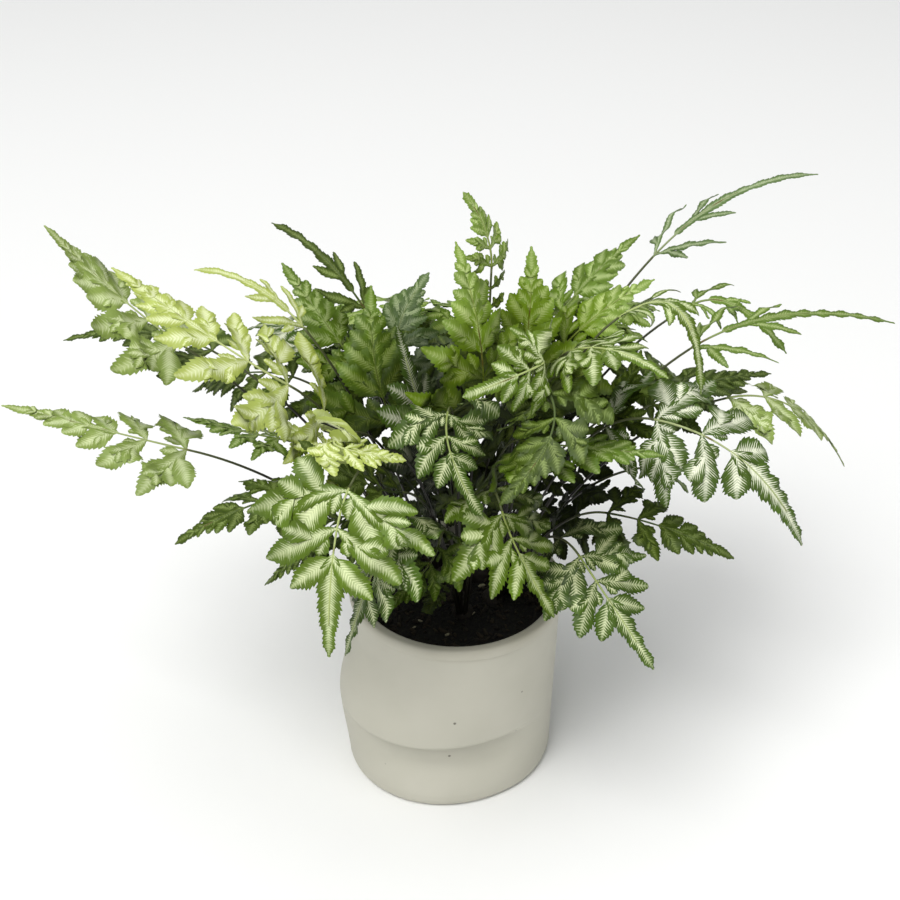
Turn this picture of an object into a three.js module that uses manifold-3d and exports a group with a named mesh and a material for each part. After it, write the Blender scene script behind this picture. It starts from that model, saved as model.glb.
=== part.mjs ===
// A pot of variegated brake fern: an off-white moulded pot, dark soil, six short rootstocks with their
// wiry dark stalks, and close on fifty cut green fronds feathered with white. Millimetres, +Z up. The pot
// stands on the plane z = 0 with its foot centred on the origin; its recessed side faces -Y.
import * as THREE from 'three';
import { mergeVertices } from 'three/addons/utils/BufferGeometryUtils.js';
import Module from 'manifold-3d';

const wasm = await Module();
wasm.setup();

// ---- pot ----
const POT_HEIGHT = 103;
const POT_SIDES = 40;
const RIM_RADIUS = 52.4;          // the rolled rim, outside
const NECK_RADIUS = 50.9;         // just under the rolled rim
const FOOT_RADIUS = 48.4;         // the wall just above the foot's rounding
const MOUTH_RADIUS = 48.2;        // inside the rim
const FLOOR_THICKNESS = 5;
const RECESS_AZIMUTH = -98;       // degrees: the way the recessed side faces
const RECESS_DEPTH = 8.5;         // how far the recess goes in under its crease
const BULGE_AZIMUTH = -150;       // degrees: the way the lower wall swells out
const BULGE = 11;

// ---- soil ----
const SOIL_TOP = 90;
const SOIL_SIDES = 28;
const SOIL_GAP = 0.3;
const SOIL_BUMP = 1.5;

// ---- rootstocks ----
const CROWN_CENTRE = [3, 8];
const CROWN_RING = 15.5;
const CROWN_TURN = 54;            // degrees: the way the first outer rootstock lies
const CROWN_COUNT = 5;            // the outer ones; one more stands in the middle
const CROWN_RADIUS = 5.8;
const CROWN_RISE = 4.6;           // top of a rootstock above the soil
const CROWN_DEPTH = 9;
const CROWN_SIDES = 10;
const HOLE_GAP = 0.35;

// ---- stalks ----
const STALK_RADIUS = 0.95;        // at the rootstock
const STALK_TOP_RADIUS = 0.75;    // where the blade begins
const STALK_PARTS = 6;
const BLADE_GAP = 0.3;
const FIRST_PAIR = 1.3;           // from the blade's start to its lowest pair of leaflets

// ---- blades ----
const BLADE_THICKNESS = 0.7;
const RIB_HALF_WIDTH = 0.75;
const DROOP = 0.006;              // per mm: how far a leaflet hangs out from the midrib
const WAVE = 0.07;                // height of the waves, as a share of the distance from the midrib
const CURVE_PARTS = 24;
const BOW = 0.10;                 // how far a leaflet bows towards the blade's tip

// ---- spacing ----
const BLADE_CLEARANCE = 4.4;      // between the sampled points of two blades
const STALK_CLEARANCE = 3.5;      // between a blade and another frond's stalk
const STALKS_CLEARANCE = 2.4;     // between the stalks of two rootstocks
const SAMPLE = 4.5;
const SLIDE = 3;                  // one step of a frond along the line from the eye
const SLIDE_STEPS = 11;
const ROLLS = [0, 16, -16];       // degrees: how a blade may be turned about its midrib
const EYE = [-3, -587, 574];      // the point the arrangement is looked at from

const RAD = Math.PI / 180;

// Where the leaflets stand on a blade, as shares of its length. A pair is
// [place, length, degrees, side leaflets], a side leaflet [place, towards the tip or not, degrees, length].
const KINDS = {
  broad: {
    from: 0.51, tip: 0.060, leaf: 0.058, pairs: [
      [0.00, 0.47, 68, [[0.24, -1, 54, 0.25], [0.52, 1, 38, 0.13]]],
      [0.21, 0.37, 58, [[0.34, -1, 44, 0.15]]],
      [0.38, 0.25, 50, []],
    ],
  },
  narrow: {
    from: 0.30, tip: 0.030, leaf: 0.028, pairs: [
      [0.00, 0.40, 44, [[0.20, -1, 40, 0.16]]],
      [0.26, 0.24, 36, []],
    ],
  },
  young: {
    from: 0.53, tip: 0.070, leaf: 0.066, pairs: [
      [0.00, 0.42, 66, [[0.30, -1, 52, 0.22]]],
      [0.22, 0.36, 58, []],
      [0.40, 0.26, 50, []],
    ],
  },
};

// The fronds seen from the front. base and tip are the two ends of the blade; out and up say how far out
// and how high the stalk's bend lies, lead how stiffly the blade carries the stalk's direction on, spread
// and wide scale its leaflets' length and width.
const PLACED = [
  { kind: 'broad', tone: 'silver', base: [-44, -78, 214], tip: [-54, -103, 144],
    out: 0.45, up: 1.3, lead: 0.25, spread: 1.2, wide: 1.1, facing: -100 },
  { kind: 'broad', tone: 'silver', base: [19, -60, 189], tip: [42, -82, 149],
    out: 0.4, up: 1.25, lead: 0.3, spread: 1.35, wide: 1.15 },
  { kind: 'broad', tone: 'edged', base: [53, -55, 162], tip: [86, -85, 122],
    out: 0.55, up: 1.15, lead: 0.3, spread: 1.1, wide: 1.2 },
  { kind: 'broad', tone: 'edged', base: [86, -22, 211], tip: [156, -40, 155],
    out: 0.4, up: 1.0, lead: 0.5, spread: 0.8, wide: 1.0, droop: 0.02, roll: 32 },
  { kind: 'broad', tone: 'mid', base: [-123, 0, 180], tip: [-208, 8, 201],
    out: 0.45, up: 0.8, lead: 0.45, spread: 0.8, wide: 1.0 },
  { kind: 'broad', tone: 'grey', base: [-124, 14, 228], tip: [-180, 25, 282],
    out: 0.35, up: 0.6, lead: 0.45, spread: 0.95, wide: 1.2 },
  { kind: 'young', tone: 'gold', base: [-71, -30, 233], tip: [-146, -5, 277],
    out: 0.4, up: 0.75, lead: 0.45, spread: 0.9, wide: 1.0 },
  { kind: 'broad', tone: 'deep', base: [-115, 45, 206], tip: [-189, 55, 207],
    out: 0.4, up: 0.8, lead: 0.45, spread: 0.9, wide: 1.2 },
  { kind: 'narrow', tone: 'deep', base: [-42, 40, 231], tip: [-86, 65, 265],
    out: 0.3, up: 0.75, lead: 0.6, spread: 1.0, wide: 1.6 },
  { kind: 'narrow', tone: 'gold', base: [-69, 20, 233], tip: [-119, 35, 256],
    out: 0.35, up: 0.7, lead: 0.6, spread: 1.0, wide: 1.5 },
  { kind: 'broad', tone: 'mid', base: [-80, 0, 186], tip: [-124, 0, 199],
    out: 0.4, up: 0.9, lead: 0.45, spread: 1.1, wide: 1.2 },
  { kind: 'broad', tone: 'deep', base: [-75, -35, 180], tip: [-122, -60, 172],
    out: 0.45, up: 0.95, lead: 0.45, spread: 1.0, wide: 1.2 },
  { kind: 'broad', tone: 'deep', base: [-46, -50, 180], tip: [-84, -68, 156],
    out: 0.5, up: 1.0, lead: 0.3, spread: 1.15, wide: 1.2 },
  { kind: 'broad', tone: 'edged', base: [-29, -66, 181], tip: [-49, -84, 129],
    out: 0.5, up: 1.2, lead: 0.3, spread: 1.1, wide: 1.2 },
  { kind: 'young', tone: 'gold', base: [-51, -50, 219], tip: [-21, -56, 213],
    out: 0.3, up: 0.95, lead: 0.35, spread: 1.1, wide: 1.2 },
  { kind: 'young', tone: 'gold', base: [-47, -35, 198], tip: [-80, -32, 221],
    out: 0.4, up: 0.8, lead: 0.45, spread: 1.1, wide: 1.2 },
  { kind: 'broad', tone: 'mid', base: [-37, 25, 197], tip: [-81, 55, 249],
    out: 0.3, up: 0.75, lead: 0.45, spread: 0.95, wide: 1.05 },
  { kind: 'broad', tone: 'grey', base: [-26, 40, 196], tip: [-13, 75, 233],
    out: 0.3, up: 0.75, lead: 0.45, spread: 1.1, wide: 1.2 },
  { kind: 'broad', tone: 'mid', base: [-19, -10, 187], tip: [-38, 20, 255],
    out: 0.3, up: 0.8, lead: 0.45, spread: 1.1, wide: 1.15 },
  { kind: 'broad', tone: 'edged', base: [-8, -15, 196], tip: [-26, -2, 247],
    out: 0.3, up: 0.85, lead: 0.45, spread: 1.1, wide: 1.15 },
  { kind: 'broad', tone: 'bright', base: [16, 45, 250], tip: [3, 55, 284],
    out: 0.2, up: 0.7, lead: 0.45, spread: 1.0, wide: 1.0 },
  { kind: 'broad', tone: 'bright', base: [11, 5, 199], tip: [0, 30, 272],
    out: 0.3, up: 0.7, lead: 0.45, spread: 1.05, wide: 1.1 },
  { kind: 'broad', tone: 'bright', base: [23, 0, 205], tip: [32, 20, 274],
    out: 0.3, up: 0.7, lead: 0.45, spread: 1.05, wide: 1.1 },
  { kind: 'broad', tone: 'bright', base: [40, 15, 214], tip: [88, 25, 256],
    out: 0.3, up: 0.75, lead: 0.45, spread: 1.1, wide: 1.2 },
  { kind: 'broad', tone: 'mid', base: [42, 50, 210], tip: [87, 75, 253],
    out: 0.3, up: 0.75, lead: 0.45, spread: 1.1, wide: 1.1 },
  { kind: 'broad', tone: 'silver', base: [48, -15, 241], tip: [87, -45, 246],
    out: 0.35, up: 0.9, lead: 0.45, spread: 1.3, wide: 1.2 },
  { kind: 'broad', tone: 'silver', base: [36, -35, 248], tip: [2, -60, 246],
    out: 0.3, up: 0.95, lead: 0.12, spread: 1.05, wide: 1.2, roll: -50 },
  { kind: 'narrow', tone: 'silver', base: [88, 35, 261], tip: [161, 50, 296],
    out: 0.35, up: 0.7, lead: 0.6, spread: 1.0, wide: 1.0 },
  { kind: 'narrow', tone: 'mid', base: [106, 20, 222], tip: [203, 35, 229],
    out: 0.4, up: 0.75, lead: 0.45, spread: 1.0, wide: 1.0 },
  { kind: 'narrow', tone: 'mid', base: [106, 30, 239], tip: [150, 15, 223],
    out: 0.35, up: 0.8, lead: 0.45, spread: 1.0, wide: 1.0 },
  { kind: 'narrow', tone: 'silver', base: [69, -10, 255], tip: [103, -40, 235],
    out: 0.3, up: 0.85, lead: 0.8, spread: 1.0, wide: 1.3 },
  { kind: 'broad', tone: 'deep', base: [90, 20, 192], tip: [147, 28, 205],
    out: 0.4, up: 0.8, lead: 0.45, spread: 1.1, wide: 1.2 },
  { kind: 'broad', tone: 'mid', base: [122, 5, 205], tip: [185, 15, 161],
    out: 0.4, up: 0.9, lead: 0.45, spread: 0.8, wide: 1.0 },
  { kind: 'broad', tone: 'mid', base: [27, -28, 204], tip: [88, -48, 210],
    out: 0.4, up: 0.95, lead: 0.45, spread: 1.1, wide: 1.2 },
  { kind: 'broad', tone: 'deep', base: [68, -20, 159], tip: [128, -28, 139],
    out: 0.5, up: 0.95, lead: 0.45, spread: 0.85, wide: 1.1 },
  { kind: 'broad', tone: 'mid', base: [-8, -52, 165], tip: [-31, -70, 144],
    out: 0.5, up: 1.2, lead: 0.3, spread: 1.2, wide: 1.2 },
  { kind: 'young', tone: 'bright', base: [-9, -28, 120], tip: [-14, -42, 118],
    out: 0.5, up: 1.3, lead: 0.3, spread: 1.0, wide: 1.2 },
  { kind: 'broad', tone: 'silver', base: [-4, -30, 220], tip: [11, -60, 186],
    out: 0.4, up: 1.05, lead: 0.45, spread: 1.1, wide: 1.2 },
  { kind: 'broad', tone: 'edged', base: [40, -12, 219], tip: [18, -50, 185],
    out: 0.4, up: 1.05, lead: 0.45, spread: 1.0, wide: 1.2 },
  { kind: 'narrow', tone: 'mid', base: [85, 0, 170], tip: [109, 0, 156],
    out: 0.4, up: 0.9, lead: 0.45, spread: 1.0, wide: 2.0 },
  { kind: 'broad', tone: 'deep', base: [58, -5, 194], tip: [82, 8, 229],
    out: 0.3, up: 0.8, lead: 0.45, spread: 1.2, wide: 1.2 },
  { kind: 'broad', tone: 'deep', base: [-25, -18, 169], tip: [-69, -28, 205],
    out: 0.35, up: 0.85, lead: 0.45, spread: 1.05, wide: 1.2 },
  { kind: 'broad', tone: 'deep', base: [7, 4, 160], tip: [-4, 22, 202],
    out: 0.3, up: 0.85, lead: 0.45, spread: 1.1, wide: 1.2 },
  { kind: 'broad', tone: 'deep', base: [36, 2, 150], tip: [80, 6, 200],
    out: 0.35, up: 0.85, lead: 0.45, spread: 1.0, wide: 1.2 },
];

// ---- fronds of the far side, drawn by a seeded rule ----
const FAR_COUNT = 8;
const FAR_SEED = 4127;
const FAR_FROM = 28;              // degrees: first direction
const FAR_TO = 158;
const FAR_BASE = 78;              // how far out the blade begins
const FAR_LENGTH = 62;
const FAR_HEIGHT = 196;

function seeded(seed) {
  let state = seed >>> 0;
  return () => {
    state = (Math.imul(state, 1664525) + 1013904223) >>> 0;
    return state / 4294967296;
  };
}

function farFronds() {
  const draw = seeded(FAR_SEED);
  const tones = ['mid', 'deep', 'edged', 'bright'];
  const fronds = [];
  for (let i = 0; i < FAR_COUNT; i += 1) {
    const azimuth = (FAR_FROM + (FAR_TO - FAR_FROM) * i / (FAR_COUNT - 1) + 8 * (draw() - 0.5)) * RAD;
    const out = FAR_BASE + 26 * (draw() - 0.5);
    const height = FAR_HEIGHT + 44 * (draw() - 0.5);
    const reach = out + FAR_LENGTH * (0.85 + 0.3 * draw());
    const drop = 8 + 34 * draw();
    fronds.push({
      kind: 'broad',
      tone: tones[Math.floor(draw() * tones.length)],
      base: [out * Math.cos(azimuth), out * Math.sin(azimuth), height],
      tip: [reach * Math.cos(azimuth), reach * Math.sin(azimuth), height - drop],
      out: 0.4, up: 0.95, lead: 0.4, spread: 1.0, wide: 1.15,
    });
  }
  return fronds;
}

// ---- rootstocks' places ----
const CROWNS = [CROWN_CENTRE];
for (let k = 0; k < CROWN_COUNT; k += 1) {
  const a = (CROWN_TURN + 360 * k / CROWN_COUNT) * RAD;
  CROWNS.push([CROWN_CENTRE[0] + CROWN_RING * Math.cos(a), CROWN_CENTRE[1] + CROWN_RING * Math.sin(a)]);
}

// ---- vectors ----
const add = (a, b, s = 1) => [a[0] + b[0] * s, a[1] + b[1] * s, a[2] + b[2] * s];
const sub = (a, b) => [a[0] - b[0], a[1] - b[1], a[2] - b[2]];
const dot = (a, b) => a[0] * b[0] + a[1] * b[1] + a[2] * b[2];
const cross = (a, b) => [a[1] * b[2] - a[2] * b[1], a[2] * b[0] - a[0] * b[2], a[0] * b[1] - a[1] * b[0]];
const length = (a) => Math.sqrt(dot(a, a));
const unit = (a) => add([0, 0, 0], a, 1 / length(a));
const mix = (a, b, t) => [a[0] + (b[0] - a[0]) * t, a[1] + (b[1] - a[1]) * t, a[2] + (b[2] - a[2]) * t];

// ---- the line of a frond: one bend up the stalk, one along the blade ----
function rootOf(frond) {
  const x = frond.base[0] - CROWN_CENTRE[0];
  const y = frond.base[1] - CROWN_CENTRE[1];
  const azimuth = Math.atan2(y, x);
  const reach = Math.hypot(x, y);
  const sector = Math.floor((azimuth - CROWN_TURN * RAD) / (2 * Math.PI / CROWN_COUNT) + 0.5);
  const crown = reach < 38 ? 0 : 1 + (((sector % CROWN_COUNT) + CROWN_COUNT) % CROWN_COUNT);
  const away = 2.5 + 3 * Math.min(reach, 150) / 150;
  const root = [CROWNS[crown][0] + away * Math.cos(azimuth), CROWNS[crown][1] + away * Math.sin(azimuth),
    SOIL_TOP + 2];
  return { crown, root };
}

function lineOf(frond) {
  const { crown, root } = rootOf(frond);
  const base = frond.base;
  const rise = base[2] - root[2];
  const bend = [root[0] + (base[0] - root[0]) * frond.out, root[1] + (base[1] - root[1]) * frond.out,
    root[2] + rise * frond.up];
  const away = unit(sub(base, bend));
  const lead = add(base, away, length(sub(frond.tip, base)) * frond.lead);
  const points = [];
  const slopes = [];
  for (const [a, b, c, first] of [[root, bend, base, 0], [base, lead, frond.tip, 1]]) {
    for (let i = first; i <= CURVE_PARTS; i += 1) {
      const t = i / CURVE_PARTS;
      points.push(mix(mix(a, b, t), mix(b, c, t), t));
      slopes.push(unit(mix(sub(b, a), sub(c, b), t)));
    }
  }
  const along = [0];
  for (let i = 1; i < points.length; i += 1) {
    along.push(along[i - 1] + length(sub(points[i], points[i - 1])));
  }
  const start = along[CURVE_PARTS];
  const size = along[along.length - 1] - start;
  let level = sub(frond.tip, base);
  if (Math.hypot(level[0], level[1]) < 12) {
    level = sub(frond.tip, root);
  }
  const azimuth = frond.facing === undefined ? Math.atan2(level[1], level[0]) : frond.facing * RAD;
  const left = [-Math.sin(azimuth), Math.cos(azimuth), 0];
  return {
    frond, crown, root, points, slopes, along, start, size, left,
    phase: (frond.tip[0] + frond.tip[1]) * 0.7,
    droop: frond.droop ?? DROOP,
    rollCos: Math.cos((frond.roll ?? 0) * RAD),
    rollSin: Math.sin((frond.roll ?? 0) * RAD),
  };
}

function placeOn(line, s) {
  const at = Math.min(Math.max(s, 0), line.along[line.along.length - 1]);
  let i = 1;
  while (i < line.along.length - 1 && line.along[i] < at) {
    i += 1;
  }
  const t = (at - line.along[i - 1]) / (line.along[i] - line.along[i - 1]);
  const slope = unit(mix(line.slopes[i - 1], line.slopes[i], t));
  return { point: add(mix(line.points[i - 1], line.points[i], t), slope, s - at), slope };
}

// A point of the blade's sheet: x mm along the midrib from the blade's start, y mm to its left.
function sheet(line, x, y) {
  const { point, slope } = placeOn(line, line.start + x);
  const level = unit(add(line.left, slope, -dot(line.left, slope)));
  const upright = cross(slope, level);
  const across = add(add([0, 0, 0], level, line.rollCos), upright, line.rollSin);
  const up = add(add([0, 0, 0], upright, line.rollCos), level, -line.rollSin);
  const hang = line.droop * y * y / (1 + line.droop * Math.abs(y));
  const wave = WAVE * Math.abs(y) * Math.sin(0.22 * x + 0.3 * y + line.phase);
  return add(add(point, across, y), up, wave - hang);
}

function sheetNormal(line, x, y) {
  const step = 0.5;
  const dx = sub(sheet(line, x + step, y), sheet(line, x - step, y));
  const dy = sub(sheet(line, x, y + step), sheet(line, x, y - step));
  return unit(cross(dx, dy));
}

// ---- leaflets of a blade, laid out flat ----
function leafletsOf(line) {
  const kind = KINDS[line.frond.kind];
  const size = line.size;
  const leaflets = [];
  for (const [place, long, degrees, sides] of kind.pairs) {
    for (const side of [1, -1]) {
      const angle = degrees * RAD * side;
      const reach = long * size * line.frond.spread;
      const width = kind.leaf * size * line.frond.wide * (0.75 + 0.25 * Math.min(1, long / 0.3));
      const origin = [FIRST_PAIR + place * size, 0];
      const neck = sides.length ? Math.max(...sides.map((s) => s[0])) * 0.8 : 0;
      leaflets.push({ origin, angle, long: reach, width, neck, bow: BOW, main: true });
      for (const [at, forward, turn, share] of sides) {
        const x = origin[0] + Math.cos(angle) * at * reach + BOW * reach * at * at;
        const y = origin[1] + Math.sin(angle) * at * reach;
        leaflets.push({
          origin: [x, y], angle: angle - side * forward * turn * RAD, long: share * size * line.frond.spread,
          width: width * 0.85, neck: 0, bow: BOW, main: false,
        });
      }
    }
  }
  leaflets.push({
    origin: [kind.from * size, 0], angle: 0, long: (1 - kind.from) * size,
    width: kind.tip * size * line.frond.wide, neck: 0, bow: 0, main: true, end: true,
  });
  return leaflets;
}

function leafletPoint(leaflet, t, aside) {
  const c = Math.cos(leaflet.angle);
  const s = Math.sin(leaflet.angle);
  return [leaflet.origin[0] + c * t * leaflet.long + leaflet.bow * leaflet.long * t * t - s * aside,
    leaflet.origin[1] + s * t * leaflet.long + c * aside];
}

function leafletHalfWidth(leaflet, t) {
  const u = Math.min(Math.max((t - leaflet.neck) / (1 - leaflet.neck), 0), 1);
  const swell = Math.pow(Math.max(Math.sin(Math.PI * Math.pow(u, 0.8)), 0), 0.75);
  return Math.max(RIB_HALF_WIDTH, leaflet.width * swell);
}

// ---- keeping the fronds clear of each other ----
function samplesOf(line) {
  const stalk = [];
  const blade = [];
  const parts = Math.ceil(line.start / 3);
  for (let i = 2; i < parts; i += 1) {
    stalk.push(placeOn(line, line.start * i / parts).point);
  }
  for (const leaflet of leafletsOf(line)) {
    const steps = Math.ceil(leaflet.long / SAMPLE);
    for (let i = 0; i <= steps; i += 1) {
      const t = i / steps;
      const half = leafletHalfWidth(leaflet, t);
      const asides = half > 2.2 && i < steps ? [-0.85, 0, 0.85] : [0];
      for (const aside of asides) {
        const [x, y] = leafletPoint(leaflet, t, aside * half);
        blade.push(sheet(line, x, y));
      }
    }
  }
  return { stalk, blade, crown: line.crown, stalkBox: boxOf(stalk), bladeBox: boxOf(blade) };
}

function boxOf(points) {
  const low = [Infinity, Infinity, Infinity];
  const high = [-Infinity, -Infinity, -Infinity];
  for (const p of points) {
    for (let k = 0; k < 3; k += 1) {
      low[k] = Math.min(low[k], p[k]);
      high[k] = Math.max(high[k], p[k]);
    }
  }
  return { low, high };
}

// The least distance between two sets of points as a share of the wanted one, 1 when they are clear.
function shareOf(points, box, others, otherBox, wanted) {
  for (let k = 0; k < 3; k += 1) {
    if (box.low[k] - wanted > otherBox.high[k] || otherBox.low[k] - wanted > box.high[k]) {
      return 1;
    }
  }
  let least = wanted * wanted;
  for (const p of points) {
    for (const q of others) {
      const dx = p[0] - q[0];
      const dy = p[1] - q[1];
      const dz = p[2] - q[2];
      const d = dx * dx + dy * dy + dz * dz;
      if (d < least) {
        least = d;
      }
    }
  }
  return Math.sqrt(least) / wanted;
}

function clearShare(own, placed) {
  let least = 1;
  for (const other of placed) {
    least = Math.min(least,
      shareOf(own.blade, own.bladeBox, other.blade, other.bladeBox, BLADE_CLEARANCE),
      shareOf(own.blade, own.bladeBox, other.stalk, other.stalkBox, STALK_CLEARANCE),
      shareOf(own.stalk, own.stalkBox, other.blade, other.bladeBox, STALK_CLEARANCE));
    if (other.crown !== own.crown) {
      least = Math.min(least, shareOf(own.stalk, own.stalkBox, other.stalk, other.stalkBox, STALKS_CLEARANCE));
    }
  }
  return least;
}

// A frond that would touch an earlier one is turned a little about its midrib and slid nearer to the eye
// or further from it, in growing steps, and keeps the clearest of its places.
function slid(frond, distance, roll) {
  const move = (p) => {
    const away = sub(p, EYE);
    return add(p, away, distance / length(away));
  };
  return { ...frond, base: move(frond.base), tip: move(frond.tip), roll: (frond.roll ?? 0) + roll };
}

function settled(fronds) {
  const lines = [];
  const placed = [];
  for (const frond of fronds) {
    let best = null;
    for (let k = 0; k < 2 * SLIDE_STEPS + 1; k += 1) {
      const distance = SLIDE * Math.ceil(k / 2) * (k % 2 ? 1 : -1);
      for (const roll of ROLLS) {
        if (best && best.share >= 1) {
          break;
        }
        const line = lineOf(slid(frond, distance, roll));
        const samples = samplesOf(line);
        const share = clearShare(samples, placed);
        if (!best || share > best.share + 0.01) {
          best = { line, samples, share, distance };
        }
      }
    }
    best.line.share = best.share;
    best.line.distance = best.distance;
    lines.push(best.line);
    placed.push(best.samples);
  }
  return lines;
}

// ---- solids ----
function material(name, color, roughness) {
  return new THREE.MeshStandardMaterial({ name, color, roughness });
}

function fromTriangles(points, triangles) {
  const geometry = new THREE.BufferGeometry();
  geometry.setAttribute('position', new THREE.Float32BufferAttribute(points.flat(), 3));
  geometry.setIndex(triangles.flat());
  return geometry;
}

function toManifold(geometry) {
  const plain = geometry.clone();
  plain.deleteAttribute('normal');
  plain.deleteAttribute('uv');
  const merged = mergeVertices(plain, 1e-4);
  return new wasm.Manifold(new wasm.Mesh({
    numProp: 3,
    vertProperties: new Float32Array(merged.attributes.position.array),
    triVerts: new Uint32Array(merged.index.array),
  }));
}

function fromManifold(manifold) {
  const mesh = manifold.getMesh();
  const geometry = new THREE.BufferGeometry();
  geometry.setAttribute('position', new THREE.Float32BufferAttribute(mesh.vertProperties, 3));
  geometry.setIndex(Array.from(mesh.triVerts));
  geometry.computeVertexNormals();
  return geometry;
}

// Rings of points joined into a closed skin, the first and last ring each closed by a flat fan.
function skin(rings) {
  const n = rings[0].length;
  const points = rings.flat();
  const triangles = [];
  for (let j = 0; j + 1 < rings.length; j += 1) {
    for (let i = 0; i < n; i += 1) {
      const a = j * n + i;
      const b = j * n + (i + 1) % n;
      triangles.push([a, b, b + n], [a, b + n, a + n]);
    }
  }
  const first = points.length;
  points.push(centreOf(rings[0]), centreOf(rings[rings.length - 1]));
  const last = (rings.length - 1) * n;
  for (let i = 0; i < n; i += 1) {
    triangles.push([first, (i + 1) % n, i], [first + 1, last + i, last + (i + 1) % n]);
  }
  return fromTriangles(points, triangles);
}

function centreOf(ring) {
  const sum = ring.reduce((a, b) => add(a, b), [0, 0, 0]);
  return [sum[0] / ring.length, sum[1] / ring.length, sum[2] / ring.length];
}

// ---- pot ----
function nearTo(azimuth, degrees, half) {
  const turn = Math.abs(((azimuth / RAD - degrees) % 360 + 540) % 360 - 180);
  return turn >= half ? 0 : Math.cos(turn / half * Math.PI / 2) ** 2;
}

function step(from, to, value) {
  const t = Math.min(Math.max((value - from) / (to - from), 0), 1);
  return t * t * (3 - 2 * t);
}

function potRadius(azimuth, z) {
  const wall = FOOT_RADIUS + (NECK_RADIUS - FOOT_RADIUS) * z / POT_HEIGHT;
  const recess = RECESS_DEPTH * nearTo(azimuth, RECESS_AZIMUTH, 78) * step(43, 37, z) * step(6, 27, z);
  const swell = BULGE * nearTo(azimuth, BULGE_AZIMUTH, 95) * step(84, 44, z) * (1 - 0.3 * step(40, 0, z));
  return wall - recess + swell;
}

function ringAt(radius, z, sides) {
  const ring = [];
  for (let i = 0; i < sides; i += 1) {
    const a = 2 * Math.PI * i / sides;
    const r = typeof radius === 'function' ? radius(a) : radius;
    const height = typeof z === 'function' ? z(a) : z;
    ring.push([r * Math.cos(a), r * Math.sin(a), height]);
  }
  return ring;
}

function pot() {
  const rings = [];
  const outside = (z, less) => rings.push(ringAt((a) => potRadius(a, z) - less, z, POT_SIDES));
  outside(0, 4.5);
  outside(1.1, 1.6);
  outside(4.2, 0);
  for (const z of [11, 20, 29, 37, 40, 43, 58, 80]) {
    outside(z, 0);
  }
  rings.push(ringAt(NECK_RADIUS - 0.2, POT_HEIGHT - 7.5, POT_SIDES));
  rings.push(ringAt(RIM_RADIUS - 0.3, POT_HEIGHT - 5.2, POT_SIDES));
  rings.push(ringAt(RIM_RADIUS, POT_HEIGHT - 2.2, POT_SIDES));
  rings.push(ringAt(RIM_RADIUS - 1.3, POT_HEIGHT, POT_SIDES));
  rings.push(ringAt(MOUTH_RADIUS + 1.1, POT_HEIGHT, POT_SIDES));
  rings.push(ringAt(MOUTH_RADIUS, POT_HEIGHT - 1.8, POT_SIDES));
  rings.push(ringAt(MOUTH_RADIUS - 0.5, 84, POT_SIDES));
  rings.push(ringAt(MOUTH_RADIUS - 3.6, 46, POT_SIDES));
  rings.push(ringAt(MOUTH_RADIUS - 10.5, 40, POT_SIDES));
  rings.push(ringAt(MOUTH_RADIUS - 12, FLOOR_THICKNESS, POT_SIDES));
  return skin(rings);
}

// ---- soil: fills the pot to a bumpy top, with a plain hole for each rootstock ----
function soilHeight(x, y) {
  const bump = Math.sin(0.21 * x + 0.6) * Math.cos(0.17 * y - 0.4) + 0.5 * Math.sin(0.47 * x - 0.33 * y);
  const edge = Math.hypot(x, y) / MOUTH_RADIUS;
  return SOIL_TOP + SOIL_BUMP * bump * 0.5 * (1 - edge ** 4) - 1.2 * edge ** 4;
}

function soil() {
  const rings = [];
  const inside = (r, z) => rings.push(ringAt(r - SOIL_GAP * 1.7, z, SOIL_SIDES));
  inside(MOUTH_RADIUS - 12, FLOOR_THICKNESS + SOIL_GAP);
  inside(MOUTH_RADIUS - 10.7, 39.5);
  inside(MOUTH_RADIUS - 3.8, 46.2);
  inside(MOUTH_RADIUS - 0.6, 84);
  for (const share of [0.985, 0.78, 0.52, 0.25]) {
    const r = (MOUTH_RADIUS - SOIL_GAP * 1.7) * share;
    rings.push(ringAt(r, (a) => soilHeight(r * Math.cos(a), r * Math.sin(a)), SOIL_SIDES));
  }
  let body = toManifold(skin(rings));
  for (const [x, y] of CROWNS) {
    const hole = new THREE.CylinderGeometry(CROWN_RADIUS + HOLE_GAP, CROWN_RADIUS + HOLE_GAP, 40,
      CROWN_SIDES);
    hole.rotateX(Math.PI / 2);
    hole.translate(x, y, SOIL_TOP - CROWN_DEPTH - HOLE_GAP + 20);
    body = body.subtract(toManifold(hole));
  }
  return fromManifold(body);
}

// ---- a rootstock with the stalks that grow from it ----
function stalk(line) {
  const rings = [];
  const end = line.start - 0.01;
  for (let j = 0; j <= STALK_PARTS; j += 1) {
    const t = j / STALK_PARTS;
    const { point, slope } = placeOn(line, end * t);
    const across = unit(cross([0.31, -0.17, 0.2], slope));
    const up = cross(slope, across);
    const r = STALK_RADIUS + (STALK_TOP_RADIUS - STALK_RADIUS) * t;
    const ring = [];
    for (let i = 0; i < 3; i += 1) {
      const a = 2 * Math.PI * i / 3;
      ring.push(add(add(point, across, r * Math.cos(a)), up, r * Math.sin(a)));
    }
    rings.push(ring);
  }
  return skin(rings);
}

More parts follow.
